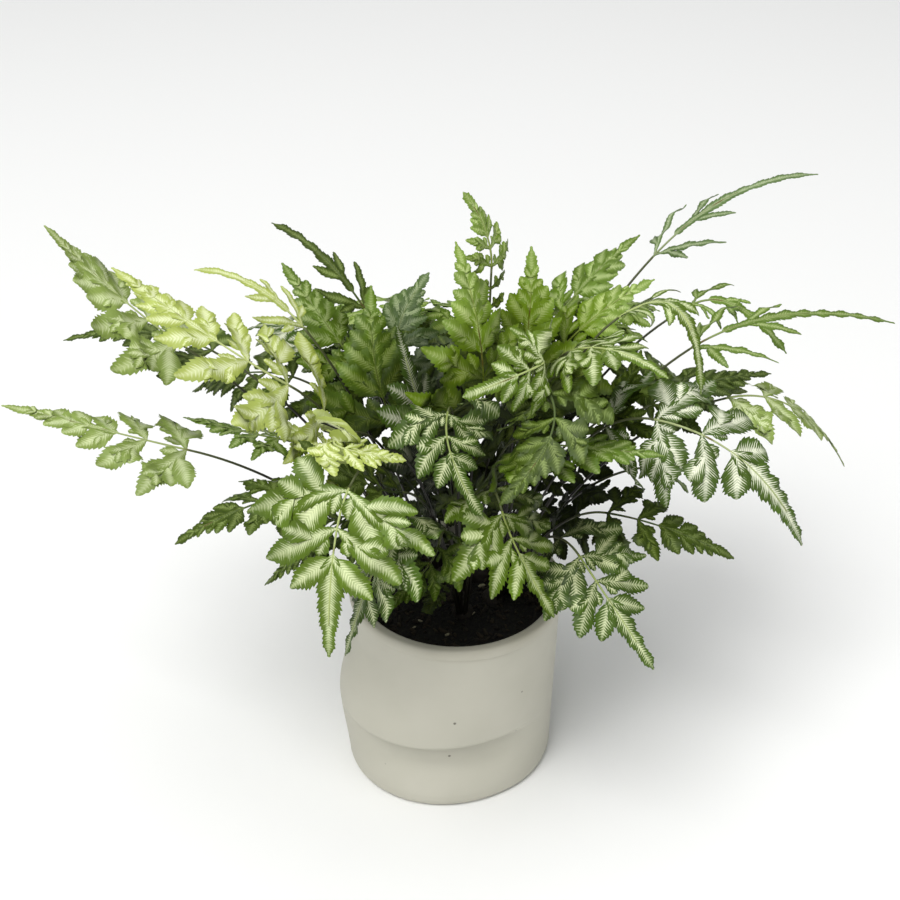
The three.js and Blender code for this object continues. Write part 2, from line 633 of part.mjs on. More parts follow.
function crown(index, lines) {
  const [x, y] = CROWNS[index];
  const rings = [];
  const knob = (share, z, lump) => rings.push(ringAt((a) => CROWN_RADIUS * share
    * (1 - lump * (0.5 + 0.5 * Math.sin(3 * a + index * 1.7 + z))), z, CROWN_SIDES));
  knob(0.8, SOIL_TOP - CROWN_DEPTH, 0);
  knob(0.95, SOIL_TOP - CROWN_DEPTH + 2, 0);
  knob(0.95, SOIL_TOP + 0.5, 0.06);
  knob(0.85, SOIL_TOP + 2.6, 0.18);
  knob(0.5, SOIL_TOP + CROWN_RISE, 0.25);
  const lump = skin(rings);
  lump.translate(x, y, 0);
  let body = toManifold(lump);
  for (const line of lines) {
    body = body.add(toManifold(stalk(line)));
  }
  return fromManifold(body);
}

// ---- a blade: its leaflets' shared outline, cut from one thin sheet that is bent along the midrib ----
function outlineOf(line) {
  const kind = KINDS[line.frond.kind];
  const shapes = [];
  const ribEnd = (kind.from + 0.02) * line.size;
  shapes.push([[BLADE_GAP, -RIB_HALF_WIDTH], [ribEnd, -RIB_HALF_WIDTH], [ribEnd, RIB_HALF_WIDTH],
    [BLADE_GAP, RIB_HALF_WIDTH]]);
  for (const leaflet of leafletsOf(line)) {
    let stations = [0.42];
    if (leaflet.main && leaflet.long > 0.22 * line.size) {
      stations = [leaflet.neck + 0.2, leaflet.neck + 0.56 * (1 - leaflet.neck)];
    }
    if (leaflet.end) {
      stations = line.frond.kind === 'narrow' ? [0.1, 0.24, 0.4, 0.56, 0.74, 0.88] : [0.18, 0.42, 0.66, 0.86];
    }
    const leftSide = [];
    const rightSide = [];
    stations.forEach((t, i) => {
      const half = leafletHalfWidth(leaflet, t) * (leaflet.end && i % 2 ? 0.86 : 1);
      leftSide.push(leafletPoint(leaflet, t, half));
      rightSide.push(leafletPoint(leaflet, t, -half));
    });
    const root = leaflet.end ? -0.02 : 0;
    shapes.push([leafletPoint(leaflet, root, -RIB_HALF_WIDTH), ...rightSide, leafletPoint(leaflet, 1, 0),
      ...leftSide.reverse(), leafletPoint(leaflet, root, RIB_HALF_WIDTH)]);
  }
  let shape = new wasm.CrossSection([shapes[0]], 'NonZero');
  for (const one of shapes.slice(1)) {
    shape = shape.add(new wasm.CrossSection([one], 'NonZero'));
  }
  const contours = shape.simplify(0.7).toPolygons().map((c) => c.map(([x, y]) => new THREE.Vector2(x, y)));
  contours.sort((a, b) => Math.abs(THREE.ShapeUtils.area(b)) - Math.abs(THREE.ShapeUtils.area(a)));
  return contours[0];
}

function blade(line) {
  const contour = outlineOf(line);
  if (THREE.ShapeUtils.isClockWise(contour)) {
    contour.reverse();
  }
  const faces = THREE.ShapeUtils.triangulateShape(contour, []);
  const n = contour.length;
  const top = [];
  const bottom = [];
  for (const { x, y } of contour) {
    const point = sheet(line, x, y);
    const normal = sheetNormal(line, x, y);
    top.push(add(point, normal, BLADE_THICKNESS / 2));
    bottom.push(add(point, normal, -BLADE_THICKNESS / 2));
  }
  const triangles = [];
  for (const [a, b, c] of faces) {
    triangles.push([a, b, c], [n + a, n + c, n + b]);
  }
  for (let i = 0; i < n; i += 1) {
    const j = (i + 1) % n;
    triangles.push([i, n + i, n + j], [i, n + j, j]);
  }
  return fromTriangles([...top, ...bottom], triangles);
}

// ---- the whole plant ----
const TONES = {
  silver: 0xa9bf9a,
  edged: 0x6f8f62,
  mid: 0x6f9448,
  deep: 0x45693a,
  grey: 0x8aa386,
  bright: 0x7fb04a,
  gold: 0xb9cf68,
};

const plant = new THREE.Group();
plant.name = 'potted_brake_fern';

function place(name, geometry, look) {
  geometry.computeVertexNormals();
  const mesh = new THREE.Mesh(geometry, look);
  mesh.name = name;
  plant.add(mesh);
}

const lines = settled([...PLACED, ...farFronds()]);

place('pot', pot(), material('matte plastic, off-white', 0xd9d6cb, 0.75));
place('soil', soil(), material('soil, near black', 0x1d1a17, 1.0));
CROWNS.forEach((at, index) => {
  const own = lines.filter((line) => line.crown === index);
  place(`crown_${index + 1}`, crown(index, own), material('stalk, dark brown', 0x2b211a, 0.5));
});
lines.forEach((line, index) => {
  const name = `frond_${String(index + 1).padStart(2, '0')}`;
  place(name, blade(line), material(`leaf, ${line.frond.tone}`, TONES[line.frond.tone], 0.6));
});

export default plant;
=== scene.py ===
"""A pot of variegated brake fern, dressed around its CAD frame.

The fronds follow the same lines as the CAD blades: a stalk that rises from a short rootstock in one bend, and a
blade whose leaflets lie on one thin sheet bent along the midrib. Here each leaflet is its own toothed,
veined surface. Lengths are millimetres inside the functions and metres in the meshes.
"""

import collections
import math

import bpy
import numpy as np
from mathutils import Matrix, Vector


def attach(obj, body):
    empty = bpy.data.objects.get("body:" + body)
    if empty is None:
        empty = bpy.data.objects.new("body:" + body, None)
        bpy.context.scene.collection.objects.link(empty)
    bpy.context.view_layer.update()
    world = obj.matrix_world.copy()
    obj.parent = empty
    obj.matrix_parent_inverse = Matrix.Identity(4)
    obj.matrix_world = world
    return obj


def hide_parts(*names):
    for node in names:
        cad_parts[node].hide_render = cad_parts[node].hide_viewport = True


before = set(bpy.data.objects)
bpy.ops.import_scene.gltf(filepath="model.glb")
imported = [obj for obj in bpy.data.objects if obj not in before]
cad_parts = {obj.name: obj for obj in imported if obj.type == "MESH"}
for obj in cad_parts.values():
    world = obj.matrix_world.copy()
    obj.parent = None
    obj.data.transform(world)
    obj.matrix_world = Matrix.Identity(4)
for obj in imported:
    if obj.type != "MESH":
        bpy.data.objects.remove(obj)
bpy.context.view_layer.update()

bl_info = {
    "name": "Potted brake fern",
    "version": (1, 0, 0),
    "blender": (4, 2, 0),
    "location": "3D View > Sidebar > Fern",
    "description": "Builds a pot of variegated brake fern around its CAD frame",
    "category": "Add Mesh",
}

MM = 0.001
RAD = math.pi / 180

# ---- sizes shared with the CAD part, in millimetres ----
POT_HEIGHT = 103.0
RIM_RADIUS = 52.4
NECK_RADIUS = 50.9
FOOT_RADIUS = 48.4
MOUTH_RADIUS = 48.2
FLOOR_THICKNESS = 5.0
RECESS_AZIMUTH = -98.0
RECESS_DEPTH = 8.5
BULGE_AZIMUTH = -150.0
BULGE = 11.0
SOIL_TOP = 90.0
SOIL_GAP = 0.3
SOIL_BUMP = 1.5
CROWN_CENTRE = (3.0, 8.0)
CROWN_RING = 15.5
CROWN_TURN = 54.0
CROWN_COUNT = 5
CROWN_RADIUS = 5.8
CROWN_RISE = 4.6
CROWN_DEPTH = 9.0
CROWN_NEAR = 38.0             # a frond nearer than this rises from the middle rootstock
ROOT_AWAY = 2.5               # from a rootstock's axis to a stalk's foot
ROOT_SPREAD = 3               # and what ROOT_REACH adds to that
ROOT_REACH = 150
STEEP = 12                    # a blade that runs less far than this sideways faces the way its stalk leans
SIDE_WIDTH = 0.85             # of a side leaflet, against its leaflet's
SIDE_NECK = 0.8               # of the way to the last side leaflet, a leaflet is only its rib
FIRST_PAIR = 1.3
RIB_HALF_WIDTH = 0.75
DROOP = 0.006
WAVE = 0.07
CURVE_PARTS = 24
BOW = 0.10
BLADE_CLEARANCE = 4.4
STALK_CLEARANCE = 3.5
STALKS_CLEARANCE = 2.4
SAMPLE = 4.5
SAMPLE_ASIDE = (-0.85, 0.0, 0.85)
SAMPLE_WIDTH = 2.2            # of the narrowest half leaflet that is sampled aside
STALK_SAMPLE = 3
SLIDE = 3.0
SLIDE_STEPS = 11
ROLLS = (0.0, 16.0, -16.0)
EYE = np.array([-3.0, -587.0, 574.0])

# Where the leaflets stand on a blade, as shares of its length. A pair is
# [place, length, degrees, side leaflets], a side leaflet [place, towards the tip or not, degrees, length].
KINDS = {
    "broad": {"from": 0.51, "tip": 0.060, "leaf": 0.058, "pairs": [
        [0.00, 0.47, 68, [[0.24, -1, 54, 0.25], [0.52, 1, 38, 0.13]]],
        [0.21, 0.37, 58, [[0.34, -1, 44, 0.15]]],
        [0.38, 0.25, 50, []]]},
    "narrow": {"from": 0.30, "tip": 0.030, "leaf": 0.028, "pairs": [
        [0.00, 0.40, 44, [[0.20, -1, 40, 0.16]]],
        [0.26, 0.24, 36, []]]},
    "young": {"from": 0.53, "tip": 0.070, "leaf": 0.066, "pairs": [
        [0.00, 0.42, 66, [[0.30, -1, 52, 0.22]]],
        [0.22, 0.36, 58, []],
        [0.40, 0.26, 50, []]]},
}

# The fronds seen from the front. base and tip are the two ends of the blade; out and up say how far out
# and how high the stalk's bend lies, lead how stiffly the blade carries the stalk's direction on, spread
# and wide scale its leaflets' length and width. Some have a droop, a roll about the midrib or a facing of their own,
# or a look that differs from their tone in the frame.
FROND_FACTS = ("kind", "tone", "base", "tip", "out", "up", "lead", "spread", "wide")
PLACED = [dict(zip(FROND_FACTS, row), **dict(*row[len(FROND_FACTS):])) for row in (
    ("broad", "silver", (-44, -78, 214), (-54, -103, 144), 0.45, 1.3, 0.25, 1.2, 1.1, {"facing": -100}),
    ("broad", "silver", (19, -60, 189), (42, -82, 149), 0.4, 1.25, 0.3, 1.35, 1.15),
    ("broad", "edged", (53, -55, 162), (86, -85, 122), 0.55, 1.15, 0.3, 1.1, 1.2, {"look": "dark"}),
    ("broad", "edged", (86, -22, 211), (156, -40, 155), 0.4, 1.0, 0.5, 0.8, 1.0, {"droop": 0.02, "roll": 32}),
    ("broad", "mid", (-123, 0, 180), (-208, 8, 201), 0.45, 0.8, 0.45, 0.8, 1.0, {"look": "pale"}),
    ("broad", "grey", (-124, 14, 228), (-180, 25, 282), 0.35, 0.6, 0.45, 0.95, 1.2, {"look": "pale"}),
    ("young", "gold", (-71, -30, 233), (-146, -5, 277), 0.4, 0.75, 0.45, 0.9, 1.0),
    ("broad", "deep", (-115, 45, 206), (-189, 55, 207), 0.4, 0.8, 0.45, 0.9, 1.2),
    ("narrow", "deep", (-42, 40, 231), (-86, 65, 265), 0.3, 0.75, 0.6, 1.0, 1.6),
    ("narrow", "gold", (-69, 20, 233), (-119, 35, 256), 0.35, 0.7, 0.6, 1.0, 1.5),
    ("broad", "mid", (-80, 0, 186), (-124, 0, 199), 0.4, 0.9, 0.45, 1.1, 1.2),
    ("broad", "deep", (-75, -35, 180), (-122, -60, 172), 0.45, 0.95, 0.45, 1.0, 1.2),
    ("broad", "deep", (-46, -50, 180), (-84, -68, 156), 0.5, 1.0, 0.3, 1.15, 1.2),
    ("broad", "edged", (-29, -66, 181), (-49, -84, 129), 0.5, 1.2, 0.3, 1.1, 1.2, {"look": "dark"}),
    ("young", "gold", (-51, -50, 219), (-21, -56, 213), 0.3, 0.95, 0.35, 1.1, 1.2),
    ("young", "gold", (-47, -35, 198), (-80, -32, 221), 0.4, 0.8, 0.45, 1.1, 1.2),
    ("broad", "mid", (-37, 25, 197), (-81, 55, 249), 0.3, 0.75, 0.45, 0.95, 1.05),
    ("broad", "grey", (-26, 40, 196), (-13, 75, 233), 0.3, 0.75, 0.45, 1.1, 1.2),
    ("broad", "mid", (-19, -10, 187), (-38, 20, 255), 0.3, 0.8, 0.45, 1.1, 1.15),
    ("broad", "edged", (-8, -15, 196), (-26, -2, 247), 0.3, 0.85, 0.45, 1.1, 1.15),
    ("broad", "bright", (16, 45, 250), (3, 55, 284), 0.2, 0.7, 0.45, 1.0, 1.0),
    ("broad", "bright", (11, 5, 199), (0, 30, 272), 0.3, 0.7, 0.45, 1.05, 1.1),
    ("broad", "bright", (23, 0, 205), (32, 20, 274), 0.3, 0.7, 0.45, 1.05, 1.1),
    ("broad", "bright", (40, 15, 214), (88, 25, 256), 0.3, 0.75, 0.45, 1.1, 1.2),
    ("broad", "mid", (42, 50, 210), (87, 75, 253), 0.3, 0.75, 0.45, 1.1, 1.1),
    ("broad", "silver", (48, -15, 241), (87, -45, 246), 0.35, 0.9, 0.45, 1.3, 1.2),
    ("broad", "silver", (36, -35, 248), (2, -60, 246), 0.3, 0.95, 0.12, 1.05, 1.2, {"roll": -50}),
    ("narrow", "silver", (88, 35, 261), (161, 50, 296), 0.35, 0.7, 0.6, 1.0, 1.0, {"look": "grey"}),
    ("narrow", "mid", (106, 20, 222), (203, 35, 229), 0.4, 0.75, 0.45, 1.0, 1.0),
    ("narrow", "mid", (106, 30, 239), (150, 15, 223), 0.35, 0.8, 0.45, 1.0, 1.0),
    ("narrow", "silver", (69, -10, 255), (103, -40, 235), 0.3, 0.85, 0.8, 1.0, 1.3),
    ("broad", "deep", (90, 20, 192), (147, 28, 205), 0.4, 0.8, 0.45, 1.1, 1.2),
    ("broad", "mid", (122, 5, 205), (185, 15, 161), 0.4, 0.9, 0.45, 0.8, 1.0, {"look": "pale"}),
    ("broad", "mid", (27, -28, 204), (88, -48, 210), 0.4, 0.95, 0.45, 1.1, 1.2),
    ("broad", "deep", (68, -20, 159), (128, -28, 139), 0.5, 0.95, 0.45, 0.85, 1.1),
    ("broad", "mid", (-8, -52, 165), (-31, -70, 144), 0.5, 1.2, 0.3, 1.2, 1.2),
    ("young", "bright", (-9, -28, 120), (-14, -42, 118), 0.5, 1.3, 0.3, 1.0, 1.2),
    ("broad", "silver", (-4, -30, 220), (11, -60, 186), 0.4, 1.05, 0.45, 1.1, 1.2, {"look": "dark"}),
    ("broad", "edged", (40, -12, 219), (18, -50, 185), 0.4, 1.05, 0.45, 1.0, 1.2, {"look": "deep"}),
    ("narrow", "mid", (85, 0, 170), (109, 0, 156), 0.4, 0.9, 0.45, 1.0, 2.0),
    ("broad", "deep", (58, -5, 194), (82, 8, 229), 0.3, 0.8, 0.45, 1.2, 1.2),
    ("broad", "deep", (-25, -18, 169), (-69, -28, 205), 0.35, 0.85, 0.45, 1.05, 1.2),
    ("broad", "deep", (7, 4, 160), (-4, 22, 202), 0.3, 0.85, 0.45, 1.1, 1.2),
    ("broad", "deep", (36, 2, 150), (80, 6, 200), 0.35, 0.85, 0.45, 1.0, 1.2),
)]


# ---- fronds of the far side, drawn by a seeded rule ----
FAR_COUNT = 8
FAR_SEED = 4127
FAR_FROM = 28.0
FAR_TO = 158.0
FAR_BASE = 78.0
FAR_LENGTH = 62.0
FAR_HEIGHT = 196.0
FAR_SPREADS = (8, 26, 44)       # of a frond's direction in degrees, its distance and its height
FAR_TONES = ("mid", "deep", "edged", "bright")


def seeded(seed):
    """Draws from 0 to 1: state = 1664525 * state + 1013904223, modulo 2 to the 32."""
    state = seed & 0xFFFFFFFF
    while True:
        state = (state * 1664525 + 1013904223) & 0xFFFFFFFF
        yield state / 4294967296


def about_one(draws):
    """A factor drawn from 0.85 to 1.15."""
    return 0.85 + 0.3 * next(draws)


def far_fronds():
    """Fronds at even directions from FAR_FROM to FAR_TO degrees, each drawn a little aside, longer or lower."""
    draws = seeded(FAR_SEED)
    fronds = []
    for i in range(FAR_COUNT):
        turn, nearer, higher = (spread * (next(draws) - 0.5) for spread in FAR_SPREADS)
        azimuth = (FAR_FROM + (FAR_TO - FAR_FROM) * i / (FAR_COUNT - 1) + turn) * RAD
        out, height = FAR_BASE + nearer, FAR_HEIGHT + higher
        reach = out + FAR_LENGTH * about_one(draws)
        drop = 8 + 34 * next(draws)
        tone = FAR_TONES[int(next(draws) * len(FAR_TONES))]
        base, tip = ([far * math.cos(azimuth), far * math.sin(azimuth), z]
                     for far, z in ((out, height), (reach, height - drop)))
        fronds.append(dict(zip(FROND_FACTS, ("broad", tone, base, tip, 0.4, 0.95, 0.4, 1.0, 1.15))))
    return fronds


CROWNS = [CROWN_CENTRE] + [
    (CROWN_CENTRE[0] + CROWN_RING * math.cos((CROWN_TURN + 360 * k / CROWN_COUNT) * RAD),
     CROWN_CENTRE[1] + CROWN_RING * math.sin((CROWN_TURN + 360 * k / CROWN_COUNT) * RAD))
    for k in range(CROWN_COUNT)
]


def unit(a):
    """a / |a| along the last axis."""
    a = np.asarray(a, float)
    return a / np.sqrt((a * a).sum(-1, keepdims=True))


def root_of(frond):
    """The rootstock that the frond leans over, the middle one or one of the ring, and a point on it that way."""
    x = frond["base"][0] - CROWN_CENTRE[0]
    y = frond["base"][1] - CROWN_CENTRE[1]
    azimuth = math.atan2(y, x)
    reach = math.hypot(x, y)
    sector = math.floor((azimuth - CROWN_TURN * RAD) / (2 * math.pi / CROWN_COUNT) + 0.5)
    crown = 0 if reach < CROWN_NEAR else 1 + sector % CROWN_COUNT
    away = ROOT_AWAY + ROOT_SPREAD * min(reach, ROOT_REACH) / ROOT_REACH
    root = np.array([CROWNS[crown][0] + away * math.cos(azimuth), CROWNS[crown][1] + away * math.sin(azimuth),
                     SOIL_TOP + 2])
    return crown, root


class Line:
    """A frond's line: two parabolas that share their direction, root to blade and blade to tip."""

    def __init__(self, frond):
        self.frond = frond
        self.crown, self.root = root_of(frond)
        base = np.array(frond["base"], float)
        tip = np.array(frond["tip"], float)
        bend = self.root + (base - self.root) * np.array([frond["out"], frond["out"], 0])
        bend[2] = self.root[2] + (base[2] - self.root[2]) * frond["up"]
        lead = base + unit(base - bend) * np.sqrt(((tip - base) ** 2).sum()) * frond["lead"]
        points, slopes = [], []
        for a, b, c, first in ((self.root, bend, base, 0), (base, lead, tip, 1)):
            t = (np.arange(first, CURVE_PARTS + 1) / CURVE_PARTS)[:, None]
            ab = a + (b - a) * t
            bc = b + (c - b) * t
            points.append(ab + (bc - ab) * t)
            slopes.append(unit((b - a) + ((c - b) - (b - a)) * t))
        self.points = np.concatenate(points)
        self.slopes = np.concatenate(slopes)
        steps = np.sqrt((np.diff(self.points, axis=0) ** 2).sum(1))
        self.along = np.concatenate([[0.0], np.cumsum(steps)])
        self.start = self.along[CURVE_PARTS]
        self.size = self.along[-1] - self.start
        level = tip - base
        if math.hypot(level[0], level[1]) < STEEP:
            level = tip - self.root
        azimuth = frond["facing"] * RAD if "facing" in frond else math.atan2(level[1], level[0])
        self.left = np.array([-math.sin(azimuth), math.cos(azimuth), 0.0])
        self.phase = (frond["tip"][0] + frond["tip"][1]) * 0.7
        self.droop = frond.get("droop", DROOP)
        self.roll = frond.get("roll", 0.0) * RAD
        self.look = frond.get("look", frond["tone"])

    def place(self, s):
        """Point and direction s mm along the line; past an end the line goes straight on."""
        s = np.asarray(s, float)
        at = np.clip(s, 0, self.along[-1])
        i = np.clip(np.searchsorted(self.along, at, side="left"), 1, len(self.along) - 1)
        t = ((at - self.along[i - 1]) / (self.along[i] - self.along[i - 1]))[..., None]
        slope = unit(self.slopes[i - 1] + (self.slopes[i] - self.slopes[i - 1]) * t)
        point = self.points[i - 1] + (self.points[i] - self.points[i - 1]) * t
        return point + slope * (s - at)[..., None], slope

    def sheet(self, x, y):
        """Blade point x mm along the midrib and y mm to its left: midrib + y across, less a hang of
        k y^2 / (1 + k |y|), plus a wave of WAVE |y| sin(0.22 x + 0.3 y + phase)."""
        x, y = np.broadcast_arrays(np.asarray(x, float), np.asarray(y, float))
        point, slope = self.place(self.start + x)
        level = unit(self.left - (slope @ self.left)[..., None] * slope)
        upright = np.cross(slope, level)
        across = level * math.cos(self.roll) + upright * math.sin(self.roll)
        up = upright * math.cos(self.roll) - level * math.sin(self.roll)
        hang = self.droop * y * y / (1 + self.droop * np.abs(y))
        wave = WAVE * np.abs(y) * np.sin(0.22 * x + 0.3 * y + self.phase)
        return point + across * y[..., None] + up * (wave - hang)[..., None]

    def normal(self, x, y):
        """The sheet's normal, from half a millimetre each way."""
        dx = self.sheet(x + 0.5, y) - self.sheet(x - 0.5, y)
        dy = self.sheet(x, y + 0.5) - self.sheet(x, y - 0.5)
        return unit(np.cross(dx, dy))


def leaflets_of(line):
    """The blade's leaflets laid out flat: pairs from the base up, each with its side leaflets, then the end one."""
    kind = KINDS[line.frond["kind"]]
    size, spread, wide = line.size, line.frond["spread"], line.frond["wide"]
    leaflets = []
    for rank, (place, long, degrees, sides) in enumerate(kind["pairs"]):
        for side in (1, -1):
            angle = degrees * RAD * side
            reach = long * size * spread
            width = kind["leaf"] * size * wide * (0.75 + 0.25 * min(1, long / 0.3))
            origin = (FIRST_PAIR + place * size, 0.0)
            neck = max(s[0] for s in sides) * SIDE_NECK if sides else 0.0
            leaflets.append(dict(origin=origin, angle=angle, long=reach, width=width, neck=neck, bow=BOW,
                                 main=True, end=False, side=side, rank=rank))
            for at, forward, turn, share in sides:
                x = origin[0] + math.cos(angle) * at * reach + BOW * reach * at * at
                y = origin[1] + math.sin(angle) * at * reach
                leaflets.append(dict(origin=(x, y), angle=angle - side * forward * turn * RAD,
                                     long=share * size * spread, width=width * SIDE_WIDTH, neck=0.0, bow=BOW,
                                     main=False, end=False, side=side, rank=rank))
    leaflets.append(dict(origin=(kind["from"] * size, 0.0), angle=0.0, long=(1 - kind["from"]) * size,
                         width=kind["tip"] * size * wide, neck=0.0, bow=0.0, main=True, end=True, side=0,
                         rank=len(kind["pairs"])))
    return leaflets


def leaflet_point(leaflet, t, aside):
    """Flat place on a leaflet: origin + t long along its angle + bow long t^2 towards the tip + aside across."""
    c, s = math.cos(leaflet["angle"]), math.sin(leaflet["angle"])
    x = leaflet["origin"][0] + c * t * leaflet["long"] + leaflet["bow"] * leaflet["long"] * t * t - s * aside
    y = leaflet["origin"][1] + s * t * leaflet["long"] + c * aside
    return x, y


def leaflet_half_width(leaflet, t):
    """width sin(pi u^0.8)^0.75, where u runs from the neck to the tip, and never less than the rib's."""
    u = np.clip((t - leaflet["neck"]) / (1 - leaflet["neck"]), 0, 1)
    swell = np.maximum(np.sin(math.pi * u ** 0.8), 0) ** 0.75
    return np.maximum(RIB_HALF_WIDTH, leaflet["width"] * swell)


# ---- keeping the fronds clear of each other: the CAD part's own rule ----
def samples_of(line):
    """Points about every STALK_SAMPLE mm up the stalk, and every SAMPLE mm over the blade."""
    parts = math.ceil(line.start / STALK_SAMPLE)
    stalk, _ = line.place(line.start * np.arange(2, parts) / parts)
    blade = []
    for leaflet in leaflets_of(line):
        steps = math.ceil(leaflet["long"] / SAMPLE)
        t = np.arange(steps + 1) / steps
        half = leaflet_half_width(leaflet, t)
        for aside in SAMPLE_ASIDE:
            use = np.ones(len(t), bool) if aside == 0 else (half > SAMPLE_WIDTH) & (t < 1)
            x, y = leaflet_point(leaflet, t[use], aside * half[use])
            blade.append(line.sheet(x, y))
    blade = np.concatenate(blade)
    return {"stalk": stalk, "blade": blade, "crown": line.crown,
            "stalk_box": (stalk.min(0), stalk.max(0)), "blade_box": (blade.min(0), blade.max(0))}


def share_of(a, box_a, b, box_b, wanted):
    """The least distance between two sets of points over the wanted one, at most 1."""
    if ((box_a[0] - wanted > box_b[1]) | (box_b[0] - wanted > box_a[1])).any():
        return 1.0
    a = a[((a >= box_b[0] - wanted) & (a <= box_b[1] + wanted)).all(1)]
    b = b[((b >= box_a[0] - wanted) & (b <= box_a[1] + wanted)).all(1)]
    if not len(a) or not len(b):
        return 1.0
    d = sum((a[:, None, k] - b[None, :, k]) ** 2 for k in range(3)).min()
    return min(1.0, math.sqrt(d) / wanted)


def clear_share(own, placed):
    """The worst of the shares against every frond placed so far."""
    least = 1.0
    for other in placed:
        pairs = [("blade", "blade", BLADE_CLEARANCE), ("blade", "stalk", STALK_CLEARANCE),
                 ("stalk", "blade", STALK_CLEARANCE)]
        if other["crown"] != own["crown"]:
            pairs.append(("stalk", "stalk", STALKS_CLEARANCE))
        for mine, theirs, wanted in pairs:
            least = min(least, share_of(own[mine], own[mine + "_box"], other[theirs], other[theirs + "_box"],
                                        wanted))
    return least


def slid(frond, distance, roll):
    """The frond moved along the line from the eye by distance, and turned about its midrib by roll."""
    moved = dict(frond)
    for end in ("base", "tip"):
        away = np.array(frond[end], float) - EYE
        moved[end] = list(np.array(frond[end], float) + away * (distance / math.sqrt((away ** 2).sum())))
    moved["roll"] = frond.get("roll", 0.0) + roll
    return moved


def settled(fronds):
    """Each frond in turn at its first clear place, or its clearest one."""
    lines, placed = [], []
    for frond in fronds:
        best = None
        for k in range(2 * SLIDE_STEPS + 1):
            distance = SLIDE * math.ceil(k / 2) * (1 if k % 2 else -1)
            for roll in ROLLS:
                if best and best[2] >= 1:
                    break
                line = Line(slid(frond, distance, roll))
                samples = samples_of(line)
                share = clear_share(samples, placed)
                if best is None or share > best[2] + 0.01:
                    best = (line, samples, share)
        lines.append(best[0])
        placed.append(best[1])
    return lines


LINES = settled(PLACED + far_fronds())

# ---- the photograph's view ----
CAMERA_PITCH = 33.87                       # degrees below the horizon
MOUTH = (0.0, 0.0, 0.1)                    # metres: the middle of the pot's mouth
BACK = (-0.00409, -0.78272, 0.63220)       # from there to the camera, as a direction

# ---- the studio, in metres and watts ----
FLOOR_REACH = 4
FLOOR_LINES = 9
SKY_STRENGTH = 0.22
LIT = (0, 0, 0.16)                         # what the lights face
LIGHTS = (("key", (-1.0, -1.7, 3.3), 2.2, 130.0),      # name, place, size and power
          ("fill", (2.4, -1.8, 1.6), 2.0, 12.0),
          ("top", (0.2, 0.5, 3.2), 2.4, 36.0))

# ---- seeds of the draws for the fronds' leaflets and for the soil's chips ----
FROND_SEED = 9001
FROND_SEED_STEP = 97
SOIL_SEED = 77

# ---- finer forms, in millimetres ----
LEAF_THICKNESS = 0.42
TOOTH_PITCH = 2.4         # between two teeth of a margin
VEINS_PER_TOOTH = 2
TOOTH_DEPTH = 1.0
TOOTH_ROWS = np.array([0.0, 0.25, 0.5, 0.75])     # rows of points, as shares of a tooth
TOOTH_PEAK = 0.75
# Columns of points across a leaflet and across a lobe, as shares of the half width.
COLUMNS = np.array([-1.0, -0.74, -0.36, 0.0, 0.36, 0.74, 1.0])
LOBE_COLUMNS = np.array([-1.0, -0.7, 0.0, 0.7, 1.0])
VEIN_LEAN = 0.8           # how far forward a vein runs for each mm it runs out
FOLD = 0.10               # rise of a half leaflet beside its midrib, per mm
FALL = 0.012              # and its fall to the margin, per square mm
QUILT = 0.07              # height of the leaf between two veins
LOBE = 8.5                # between two shallow lobes of a margin
WING = 2.4                # half width of the midrib's wing below the end leaflet
WING_LENGTH = 0.14        # its length, as a share of the blade's
LOBE_WIDTH = 0.27         # half width of a fine lobe, as a share of its length
# A blade grows in one of two manners: long, with few lobes and a long plain end leaflet, or cut, with lobes all
# along. Finer lobes on the first, second and third pair of leaflets: (place, towards the tip or not, degrees, share
# of the blade's length), then those of a cut blade's end leaflet: (place, share of its length, degrees).
LOBES = {
    "long": (((0.07, 1, 62, 0.10), (0.15, 1, 34, 0.23), (0.42, -1, 40, 0.15), (0.62, 1, 34, 0.10)),
             ((0.14, 1, 46, 0.10),),
             ()),
    "cut": (((0.12, 1, 56, 0.12), (0.36, 1, 42, 0.15), (0.46, -1, 44, 0.14), (0.63, 1, 38, 0.10),
             (0.70, -1, 36, 0.08)),
            ((0.16, 1, 50, 0.11), (0.30, -1, 46, 0.11), (0.50, 1, 40, 0.10), (0.60, -1, 38, 0.08)),
            ((0.28, 1, 46, 0.08), (0.42, -1, 42, 0.07))),
}
END_LOBES = ((0.04, 0.38, 48), (0.24, 0.30, 44), (0.44, 0.21, 40), (0.62, 0.13, 38))
LONG_ENDED = ("silver", "edged", "dark")     # the looks of the long manner
END_WIDTH = {"long": 1.2, "cut": 0.95}       # of an end leaflet, against the CAD's
NARROW_END = 1.35         # and on a narrow frond, against that
END_PINCH = 0.26          # how deep the notches between shallow lobes are on an end leaflet
SIDE_PINCH = 0.18         # and on any other
CUT_WIDTH = 0.86          # of a cut blade's other leaflets, against the CAD's
# Pairs on the stalk below the blade of a frond that begins near the middle: place, length and degrees.
LOW_PAIRS = ((-0.24, 0.42, 70), (-0.47, 0.36, 76), (-0.72, 0.32, 78))
LOW_REACH = (66.0, 80.0, 98.0)     # nearer than which it has all three, two or one of them
CORE = (6.0, 12.0, 150.0)      # the thick of the plant, towards which the leaves are painted darker and a deeper green as painted shade
CORE_FLAT = 0.9                # against a distance across, what a height counts
CORE_REACH = (58.0, 114.0)     # where the thick ends, and where the outside begins
SHINGLE = 5.0             # degrees: the edge towards the frond's tip lies under the next leaflet's
LEAN_SPREAD = 9.0         # and how far chance takes that up or down in all
